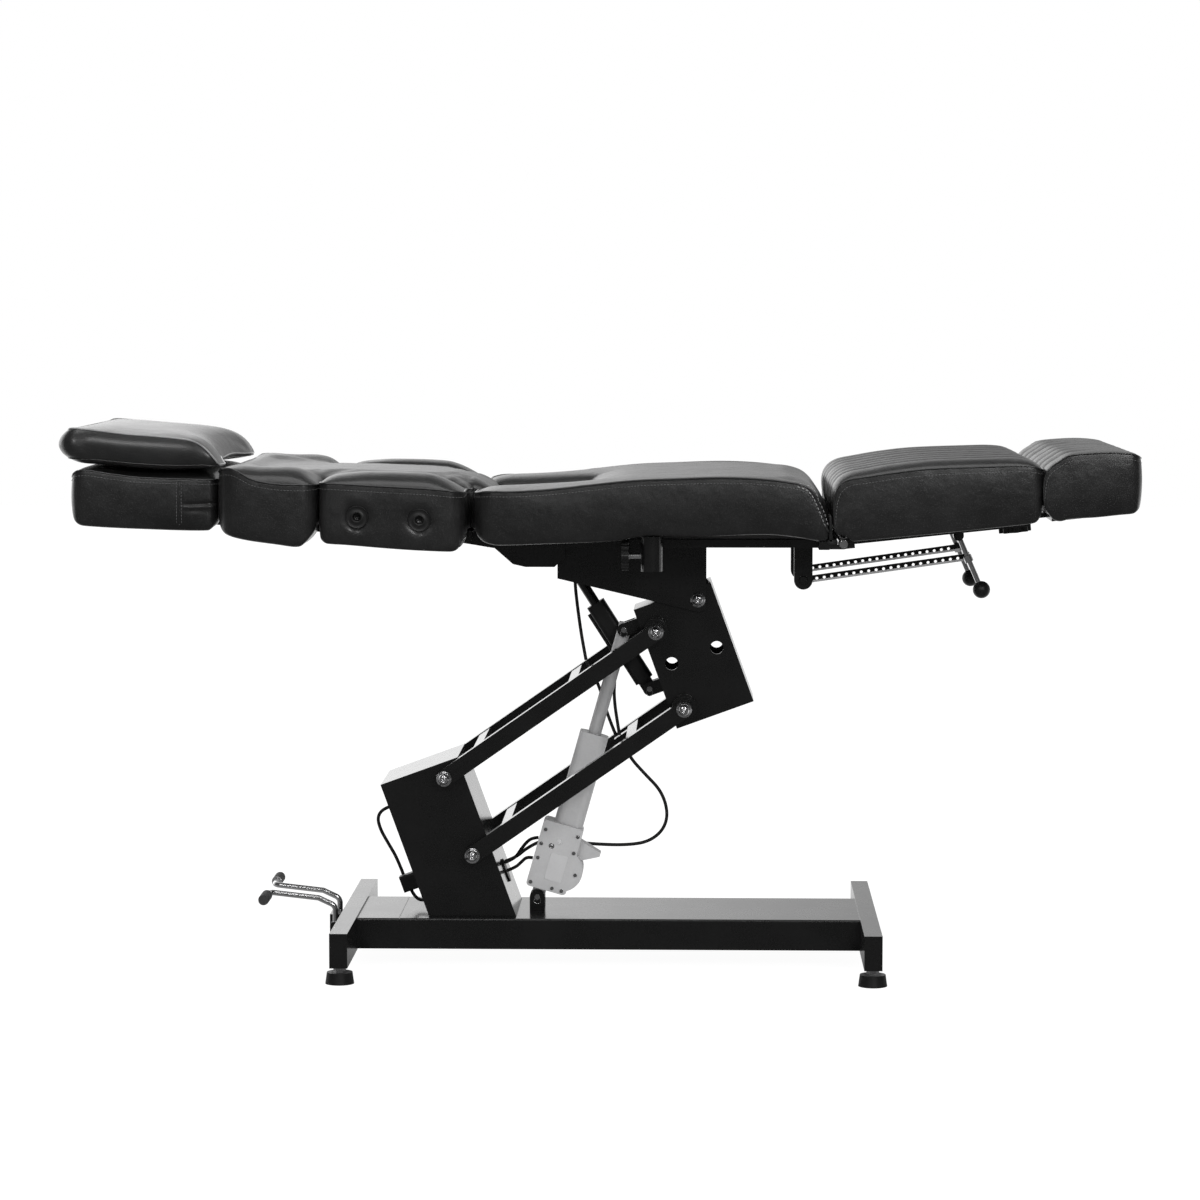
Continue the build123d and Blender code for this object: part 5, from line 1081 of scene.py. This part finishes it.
def makeHead():
    # crown times the roll of both sides, with a sewn seam and two folds pressed into the side panels
    s = head
    left, right = s["ends"]
    half = s["half"]
    xs = crowded(left, right, 34, 0.5)
    ys = gridRows((-half, -191, 9, 0.4), (-191, 191, 30, 0.3), (191, half, 9, 0.4))
    x, y = np.meshgrid(xs, ys, indexing="ij")
    seam = levelAt(s["profile"], xs)[:, None]
    crown = levelAt(s["crown"], xs)[:, None]
    puffed = crown * roll(half - np.abs(y), 60)
    y1 = y * (1 - (rounded(x - left, 22) + rounded(right - x, 16)) / half)
    top = np.stack([x, y1, seam + puffed], -1)
    inside = (1 - ease(np.abs(y1), 191.5, 197)) * ease(x, -912, -904.5)
    lowZ = levelAt(s["low"], xs)[:, None] * (1 - inside) + (backLow(x) + s["deck"]) * inside
    bottom = np.stack([x, y1, lowZ], -1)
    piece, parts = stuffed("head_pad", top, bottom, s)
    # the sewn seam that runs down the sides, and the folds beside it
    co = points(piece)
    onSide = np.abs(co[:, 1]) > 236
    dent = 2.0 * np.exp(-(((co[:, 0] - s["seam"]) / 3.2) ** 2))
    fold = sum(depth * np.exp(-(((co[:, 2] - z - slope * (co[:, 0] + 700)) / width) ** 2))
               for z, slope, depth, width in s["folds"])
    co[:, 1] -= np.sign(co[:, 1]) * onSide * (dent + ease(co[:, 0], -729, -716) * fold)
    piece.data.vertices.foreach_set("co", toFrame(co).ravel())
    topSeam("head", piece, parts, "head_section", 1.4)
    co = points(piece)
    for word, sign in sideSigns.items():
        rows = np.stack([co[ring] for ring in parts["rings"][2:-4]])
        toSeam = np.abs(rows[..., 0] - s["seam"]) + 1000 * (rows[..., 1] * sign < 200)
        line = rows[np.arange(len(rows)), toSeam.argmin(1)]
        line[:, 0] = s["seam"]
        lean = np.tile((0.0, float(sign), 0.0), (len(line), 1))
        welt(word + "_head_seam", line + lean * 0.2, lean, 0.9, "head_section", False)
        for k, dx in enumerate((-4.2, 4.2)):
            beside = line + (dx, 0, 0) + lean * 1.3
            stitches("%s_head_seam_stitches_%d" % (word, k), beside, lean, "head_section", False)
    finishCushion(piece, "head_section", ["head_cushion"])


makeHead()

pillow = {
    "profile": [(-924, 950), (-919, 952.5), (-905, 952.5), (-875, 949.5), (-824, 943.5), (-766, 939),
                (-730, 935.5), (-712, 932.5), (-700, 928), (-689, 921), (-679, 911.5), (-671, 901),
                (-665, 891)],
    "low": [(-920, 894), (-905, 893), (-890, 892), (-870, 891), (-840, 888), (-793, 884), (-740, 882),
            (-697, 883), (-675, 885.5), (-665, 888)],
    "crown": [(-924, -1), (-912, 0), (-880, 3), (-850, 5), (-799, 5), (-740, 6), (-700, 6), (-680, 6),
              (-665, 3)],
    "ends": (-924, -665), "half": 243, "neckRadius": 660, "neckDepth": 25,
    "shape": {"edge": 14, "belly": 7.0, "leftBelly": 24.0, "soft": 9, "reach": 0.8},
    "pressure": 3.0, "cap": 6,
}


def makePillow():
    # crown times the roll of both sides, bulged at the head end and waved along the neck
    s = pillow
    nx = 44
    left, right = s["ends"]
    half = s["half"]
    shares = np.linspace(0, 1, nx)
    profile = smoothPath(s["profile"], nx, 0.3)
    ys = crowded(-half, half, 44, 0.45)
    x, y = np.meshgrid(profile[:, 0], ys, indexing="ij")
    crown = levelAt(s["crown"], profile[:, 0])[:, None]
    puffed = crown * roll(half - np.abs(y), 80)
    # the neck hollow: the right edge bows in towards the middle
    arc = np.sqrt(np.maximum(s["neckRadius"] ** 2 - y**2, 0))
    hollow = np.maximum(arc - (s["neckRadius"] - s["neckDepth"]), 0)
    y1 = y * (1 - (rounded(x - left, 20) + rounded(right - x, 14)) / half)
    bulge = -8 * (1 - (y / half) ** 4) * (1 - ease(shares, 0, 0.2))[:, None]
    bulge = 0.4 * (bulge + 9 * ease(y, -100, half) * ease(x, -720, -680))
    # each wave: (height, middle, width)
    waves = sum(height * np.exp(-(((y - middle) / width) ** 2))
                for height, middle, width in ((6, -95, 50), (-3, -190, 45), (4, 80, 60)))
    moved = np.stack([bulge - hollow * ease(x, -800, right), 0 * y, ease(x, -712, -668) * waves], -1)
    top = raised(profile, puffed, y1) + moved
    lowX = profile[:, 0] * 0.35 + (-914 + 249 * shares) * 0.65
    lowZ = levelAt(s["low"], lowX)[:, None]
    lowPull = hollow * ease(lowX, -800, right)[:, None]
    bottom = np.stack([lowX[:, None] - lowPull + bulge, y1, np.broadcast_to(lowZ, y.shape)], -1)
    piece, parts = stuffed("pillow_pad", top, bottom, s)
    co, out = points(piece), parts["out"]
    pathOut = unit(out + (0, 0, 0.6))
    seam = co[parts["rings"][0]] + pathOut * 0.8
    # the top piping takes the lighter finish, a painted highlight on black piping
    welt("pillow_piping", seam, pathOut, 1.5, "head_section", finish="pipingPaintedHighlight")
    welt("pillow_low_piping", co[parts["rings"][-4]] + out * 0.2, out, 1.0, "head_section")
    finishCushion(piece, "head_section", ["head_pillow"], "pillow")


makePillow()
print("head section made")


# Leg rests: channelled tops that roll down over the hinge end
leg = {
    "profile": [(390, 782), (388.2, 795), (387, 810), (386.5, 826), (388, 842), (393, 856), (403, 866),
                (418, 871), (440, 874), (490, 881.5), (549, 888), (640, 891.5), (700, 893), (725, 891),
                (739, 886)],
    "low": [(390, 776), (405, 775), (411, 771), (414, 764.3), (440, 766.5), (684, 791), (725, 796),
            (739, 800)],
    "crown": [(0, 0), (0.08, 0.5), (0.15, 4), (0.22, 9), (0.3, 13), (0.45, 15), (0.8, 15), (0.9, 13),
              (0.96, 8), (1, 2)],
    "channel": 13.0, "ends": (390, 739), "half": 148.3, "middle": 151.5, "corner": 14, "deck": 14.6,
    "shape": {"edge": 7, "belly": 2.0}, "pressure": 3.2, "cap": 5,
}


def channels(v, depth):
    # four convex ribs with sewn valleys between them, v runs from -1 to 1
    share = (v + 1) * 2
    within = 2 * (share - np.floor(np.clip(share, 0, 3.9999))) - 1
    valley = np.abs(within) ** 2.0
    outer = ease(np.abs(v), 0.5, 0.52) * (np.sign(within) == np.sign(v))
    return -depth * valley * (1 - outer)


ribLines = 10  # grid lines of one rib, its two valleys included
valleys = [(ribLines - 1) * k for k in (1, 2, 3)]


def ribShares():
    # grid lines from -1 to 1, crowded towards the valleys between the four ribs
    return gridRows(*((-1 + 0.5 * k, -0.5 + 0.5 * k, ribLines, 0.55) for k in range(4)))


def channelSeams(body, paths, radius):
    # a thin cord along each valley
    cords = [tubeAlong(path, np.tile((0.0, 1.0, 0.0), (len(path), 1)), radius, 6) for path in paths]
    dress(makePiece(body + "_channel_seams", *joinParts(cords)), "piping", body)


def makeLeg(side):
    # crown times the roll of both sides, less the channels' valleys, on a profile bent down at the hinge
    s = leg
    sign = sideSigns[side]
    nx = 52
    shares = np.linspace(0, 1, nx)
    profile = smoothPath(s["profile"], nx, 0.3)
    vs = ribShares()
    (left, right), half, middle = s["ends"], s["half"], s["middle"]
    x, y = np.meshgrid(profile[:, 0], vs * half, indexing="ij")
    crown = levelAt(s["crown"], shares)[:, None]
    puffed = crown * roll(half - np.abs(y), 50)
    fade = ease(shares, 0.02, 0.12) * (1 - ease(shares, 0.94, 1.0))
    puffed = puffed + channels(vs, s["channel"])[None, :] * fade[:, None]
    y1 = drawnIn(y, 0, half, right - x, s["corner"])
    top = raised(profile, puffed, y1 + middle)
    mixed = 1 - ease(shares, 0.1, 0.55)
    lowX = profile[:, 0] * (1 - mixed) + (left + (right - left) * shares) * mixed
    lowX = np.maximum.accumulate(lowX)
    lowX[0] = left + 1
    edgeZ = levelAt(s["low"], lowX)[:, None]
    inside = (1 - ease(np.abs(y1), half - 13.4, half - 8)) * ease(lowX, 398, 412)[:, None]
    lowZ = edgeZ * (1 - inside) + aboveLeg(lowX, s["deck"])[:, None] * inside
    bottom = np.stack([np.broadcast_to(lowX[:, None], y.shape), y1 + middle, lowZ], -1)
    piece, parts = stuffed(side + "_leg_pad", top, bottom, s, sign, sewn=valleys)
    body = side + "_leg"
    topSeam(body, piece, parts, body, 1.6)
    co, index = points(piece), parts["index"]
    channelSeams(body, [co[index[3:-1, j]] for j in valleys], 0.8)
    finishCushion(piece, body, [body + "_cushion"])


for side in sideSigns:
    makeLeg(side)
print("leg rests made")


# Foot pads: the same four ribs, fading towards the feet
foot = {
    "profile": [(742, 826), (740.6, 840), (740.3, 855), (741.5, 870), (746, 884), (755, 894), (766, 901),
                (780, 910), (800, 913), (845, 915.5), (881, 914), (896, 911), (904, 906)],
    "low": [(742, 820), (751, 808), (760, 800.5), (768, 799.5), (786, 803.5), (828, 806), (870, 810.5),
            (896, 813), (904, 818)],
    "crown": [(0, 0), (0.1, 1), (0.2, 4), (0.3, 5), (0.4, 4), (0.6, 3), (0.85, 3), (0.94, 3), (1, 1)],
    "channel": 8.0, "ends": (742.5, 904), "half": 148.0, "middle": 151.5, "corner": 16, "deck": 10.8,
    "shape": {"edge": 7, "belly": 3.0}, "pressure": 3.2, "cap": 5,
}


def makeFoot(side):
    # crown times the roll of both sides, less shallower valleys, with a pocket below for the slide bar
    s = foot
    sign = sideSigns[side]
    nx = 36
    shares = np.linspace(0, 1, nx)
    profile = smoothPath(s["profile"], nx, 0.3)
    vs = ribShares()
    (left, right), half, middle = s["ends"], s["half"], s["middle"]
    x, y = np.meshgrid(profile[:, 0], vs * half, indexing="ij")
    crown = levelAt(s["crown"], shares)[:, None]
    puffed = crown * roll(half - np.abs(y), 45)
    fade = np.minimum(1, crown / 3) * (1 - 0.75 * ease(x, 770, 850))
    puffed = puffed + channels(vs, s["channel"])[None, :] * fade
    y1 = drawnIn(y, 0, half, right - x, s["corner"])
    top = raised(profile, puffed, y1 + middle)
    mixed = 1 - ease(shares, 0.1, 0.6)
    lowX = profile[:, 0] * (1 - mixed) + (left + (right - left) * shares) * mixed
    lowX = np.maximum.accumulate(lowX)
    edgeZ = levelAt(s["low"], lowX)[:, None]
    pocket = aboveLeg(lowX, s["deck"])[:, None]
    lengthwise = (ease(lowX, 748, 754) * (1 - ease(lowX, 893.5, 898)))[:, None]
    inside = (1 - ease(np.abs(y1), half - 13.4, half - 8)) * lengthwise
    bar = (1 - ease(np.abs(y1), 21, 26)) * (1 - ease(lowX, 760, 770))[:, None]
    inside = np.maximum(inside, bar)
    lowZ = edgeZ * (1 - inside) + np.maximum(pocket, edgeZ) * inside
    bottom = np.stack([np.broadcast_to(lowX[:, None], y.shape), y1 + middle, lowZ], -1)
    piece, parts = stuffed(side + "_foot_pad", top, bottom, s, sign)
    body = side + "_foot"
    topSeam(body, piece, parts, body, 1.6)
    co, index = points(piece), parts["index"]
    channelSeams(body, [co[index[3:24, j]] for j in valleys], 0.7)
    finishCushion(piece, body, [body + "_cushion"])


for side in sideSigns:
    makeFoot(side)
print("foot pads made")


# Turned metal: pivot bolts with a socket, and the gearbox's plugs and bare plate

def turned(centre, sign, start, profile, count=36):
    # (radius, height) points turned about Y, height measured outwards from start
    profile = np.array(profile, float)
    angle = np.linspace(0, 2 * np.pi, count, endpoint=False)
    r, a = np.meshgrid(profile[:, 0], angle, indexing="ij")
    y = centre[1] + sign * (start + np.broadcast_to(profile[:, 1:2], r.shape))
    verts = np.stack([centre[0] + r * np.cos(a), y, centre[2] + r * np.sin(a)], -1).reshape(-1, 3)
    i, j = np.meshgrid(np.arange(len(profile) - 1), np.arange(count), indexing="ij")
    j2 = (j + 1) % count
    faces = np.stack([i * count + j, (i + 1) * count + j, (i + 1) * count + j2, i * count + j2], -1)
    faces = faces.reshape(-1, 4)
    first, last = np.arange(count), (len(profile) - 1) * count + np.arange(count)
    if sign < 0:
        faces, first, last = faces[:, ::-1], first[::-1], last[::-1]
    return verts, faces.tolist() + [first.tolist(), last[::-1].tolist()]


boltRod = 7.6
boltFace = [
    (0.6, 8.6), (3.0, 8.6), (3.3, 9.2), (3.4, 12.8), (3.8, 13.6), (4.8, 13.9), (6.6, 13.2), (8.2, 11.6),
    (9.2, 9.2), (9.5, 6.6), (9.8, 5.9), (10.8, 5.7), (11.7, 5.2), (11.9, 3.6), (12.1, 3.0), (13.0, 2.8),
    (13.5, 2.2), (13.5, 0.2), (0.6, 0.2),
]
# places are (x, z, half of the width over the plates)
pivotBolts = {
    "column_bolts": {"body": "base", "node": "column_pivot_bolts",
                     "places": [(-238.2, 199.5, 125.4), (-287.6, 335.2, 125.4)]},
    "head_bolts": {"body": "head", "node": "head_pivot_bolts",
                   "places": [(132.9, 458.4, 125.4), (83.5, 594.1, 125.4), (156.5, 646.7, 68.4)]},
}
for name, bolts in pivotBolts.items():
    parts = []
    for x, z, half in bolts["places"]:
        for sign in (-1, 1):
            parts.append(turned((x, 0, z), sign, half + 0.2, boltFace))
        rod = np.stack([np.full(2, x), np.array([-half, half]), np.full(2, z)], 1)
        parts.append(tubeAlong(rod, np.tile((0.0, 0.0, 1.0), (2, 1)), boltRod, 24))
    piece = dress(makePiece(name, *joinParts(parts)), "chrome", bolts["body"])
    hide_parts(bolts["node"])

# plugs are (across, along, radius), the plate (across, along, half width, half height, corner radius)
gearbox = {
    "foot": (-128.0, 112.6), "lean": -15.82, "face": 54.0,
    "plugs": ((-0.5, 97.7, 5.0), (11.2, 109.0, 5.6)), "plate": (17.7, 62.0, 15.5, 24.5, 3.0),
}


def onGearbox(t, s):
    # a point t across and s along the actuator's own frame
    c, q = math.cos(math.radians(gearbox["lean"])), math.sin(math.radians(gearbox["lean"]))
    return gearbox["foot"][0] + t * c - s * q, gearbox["foot"][1] + t * q + s * c


for number, (t, along, r) in enumerate(gearbox["plugs"]):
    x, z = onGearbox(t, along)
    shape = [(0.3, 1.5), (r - 2.2, 1.5), (r - 1.8, 0.9), (r - 1.2, 1.3), (r - 0.9, 2.0), (r - 0.3, 2.1),
             (r, 1.6), (r, 0.0), (0.3, 0.0)]
    piece = makePiece("gearbox_plug_%d" % number, *turned((x, 0, z), -1, gearbox["face"] - 1.0, shape))
    dress(piece, ("steel", "plate")[number], "lift_body")


def platePiece():
    # a bare plate with rounded corners: an outline, its bevelled copy and the face
    t0, s0, w, h, r = gearbox["plate"]
    angle = np.linspace(0, 2 * np.pi, 48, endpoint=False) + 0.01
    corner = np.stack([np.sign(np.cos(angle)) * (w - r), np.sign(np.sin(angle)) * (h - r)], 1)
    circle = np.stack([np.cos(angle), np.sin(angle)], 1)
    rings = []
    for grow, y in ((0.0, 0.0), (0.0, 0.4), (-0.3, 0.6)):
        flat = corner + circle * (r + grow)
        x, z = onGearbox(t0 + flat[:, 0], s0 + flat[:, 1])
        rings.append(np.stack([x, np.full(48, -gearbox["face"] - y + 0.2), z], 1))
    k = np.arange(48)
    k2 = (k + 1) % 48
    sides = [np.stack([k + 48 * n, k2 + 48 * n, k2 + 48 * (n + 1), k + 48 * (n + 1)], 1) for n in (0, 1)]
    faces = np.concatenate(sides).tolist() + [(k + 96).tolist(), k[::-1].tolist()]
    piece = makePiece("gearbox_plate", np.concatenate(rings), faces, False)
    return dress(piece, "plate", "lift_body")


platePiece()
print("bolts and gearbox trim made")


# Finishes of the frame's own nodes
nodeFinishes = {
    "black_paint": "blackPaint", "chrome": "chrome", "steel": "steel", "rod_steel": "rodSteel",
    "tube_grey": "tubeGrey", "case_grey": "caseGrey", "black_plastic": "blackPlastic",
    "black_rubber": "blackRubber", "black_leather": "leather",
}
ownFinishes = {
    "near_pedal": "pedals", "far_pedal": "pedals",
    "near_leg_frame": "legHinges", "far_leg_frame": "legHinges",
    "levelling_feet": "feet", "lift_base_clevis": "footClevis", "head_clevises": "headClevises",
    "near_armrest_knob": "clampScrews", "far_armrest_knob": "clampScrews",
    "near_strut": "struts", "far_strut": "struts",
    "near_release_lever": "nearLever", "far_release_lever": "farLever",
}
for name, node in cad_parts.items():
    for slot in node.material_slots:
        chosen = ownFinishes.get(name) or nodeFinishes[slot.material.name.split(".")[0]]
        slot.material = finishes[chosen]
print("frame dressed")


# Studio: white floor and sky, soft lamps

studioSettings = {
    "floorWhite": 1.2, "floorShare": 0.8, "nearFloor": 0.10, "farFloor": 1.0, "leftWall": 1.5,
    "rightWall": 0.5, "front": 0.06, "fill": 0.66,
}


def floorFinish(look):
    # white to the camera, with the object's own soft shadow kept in a fifth of it
    material = bpy.data.materials.new("studioFloor")
    material.use_nodes = True
    graph = Graph(material.node_tree)
    graph.tree.nodes.clear()
    paths = graph.node("ShaderNodeLightPath", {}, {}, "Is Camera Ray")
    gloss = paths.out("Is Glossy Ray").math("MAXIMUM", paths.out("Is Transmission Ray"))
    camera = paths * (1 - gloss)
    place = graph.node("ShaderNodeTexCoord", {}, {}, "Object")
    behind = graph.node("ShaderNodeSeparateXYZ", {}, {"Vector": place}, "Y").between(-0.4, 1.2)
    mirrored = look["nearFloor"] + (look["farFloor"] - look["nearFloor"]) * behind
    share = camera * look["floorShare"] + gloss
    lit = graph.node("ShaderNodeBsdfDiffuse", {}, {"Color": (0.9, 0.9, 0.9, 1)})
    glow = graph.node("ShaderNodeEmission", {}, {"Strength": camera * look["floorWhite"] + gloss * mirrored})
    mixed = graph.node("ShaderNodeMixShader", {}, {0: share, 1: lit, 2: glow})
    graph.node("ShaderNodeOutputMaterial", {}, {"Surface": mixed}, None)
    return material


floorMesh = bpy.data.meshes.new("studio_floor")
floorMesh.from_pydata([(-12, -9, 0), (12, -9, 0), (12, 14, 0), (-12, 14, 0)], [], [(0, 1, 2, 3)])
floor = bpy.data.objects.new("studio_floor", floorMesh)
bpy.context.scene.collection.objects.link(floor)
floorMesh.materials.append(floorFinish(studioSettings))


def studioSky(look):
    # a white wall behind the chair, a dim room in front of it, and even fill for matt surfaces
    world = bpy.data.worlds.new("studio")
    bpy.context.scene.world = world
    world.use_nodes = True
    graph = Graph(world.node_tree)
    graph.tree.nodes.clear()
    paths = graph.node("ShaderNodeLightPath", {}, {}, "Is Camera Ray")
    gloss = paths.out("Is Glossy Ray").math("MAXIMUM", paths.out("Is Transmission Ray"))
    heading = graph.node("ShaderNodeTexCoord", {}, {}, "Generated")
    depth = graph.node("ShaderNodeSeparateXYZ", {}, {"Vector": heading}, "Y")
    across = graph.node("ShaderNodeSeparateXYZ", {}, {"Vector": heading}, "X")
    lit = look["leftWall"] + (look["rightWall"] - look["leftWall"]) * across.between(-0.22, 0.10)
    overhead = graph.node("ShaderNodeSeparateXYZ", {}, {"Vector": heading}, "Z").between(0.3, 0.85)
    wall = look["front"] + (lit - look["front"]) * depth.between(-0.05, 0.75) * (1 - 0.85 * overhead)
    unseen = gloss * wall + (1 - gloss) * look["fill"]
    strength = paths + (1 - paths) * unseen
    sky = graph.node("ShaderNodeBackground", {}, {"Strength": strength})
    sky.socket.node.inputs["Color"].default_value = (1, 1, 1, 1)
    graph.node("ShaderNodeOutputWorld", {}, {"Surface": sky}, None)


studioSky(studioSettings)

# power in watts, places in metres
lampSettings = {
    "top": {"place": (0.1, -0.8, 3.4), "aim": (0, 0, 0.7), "size": (3.2, 1.8), "power": 44},
    "left": {"place": (-1.7, -6.0, 3.4), "aim": (-0.3, 0, 0.75), "size": (1.3, 0.9), "power": 38},
    "right": {"place": (2.0, -6.0, 3.1), "aim": (0.4, 0, 0.75), "size": (1.3, 0.9), "power": 68},
}
for name, lamp in lampSettings.items():
    light = bpy.data.lights.new(name, "AREA")
    light.shape = "RECTANGLE"
    light.size, light.size_y = lamp["size"]
    light.energy = lamp["power"]
    holder = bpy.data.objects.new("lamp_" + name, light)
    holder.location = lamp["place"]
    direction = np.array(lamp["aim"]) - np.array(lamp["place"])
    holder.rotation_euler = (
        math.atan2(math.hypot(direction[0], direction[1]), -direction[2]), 0,
        math.atan2(direction[1], direction[0]) - math.pi / 2,
    )
    bpy.context.scene.collection.objects.link(holder)
bpy.context.scene.view_settings.view_transform = "Standard"
print("studio lit")
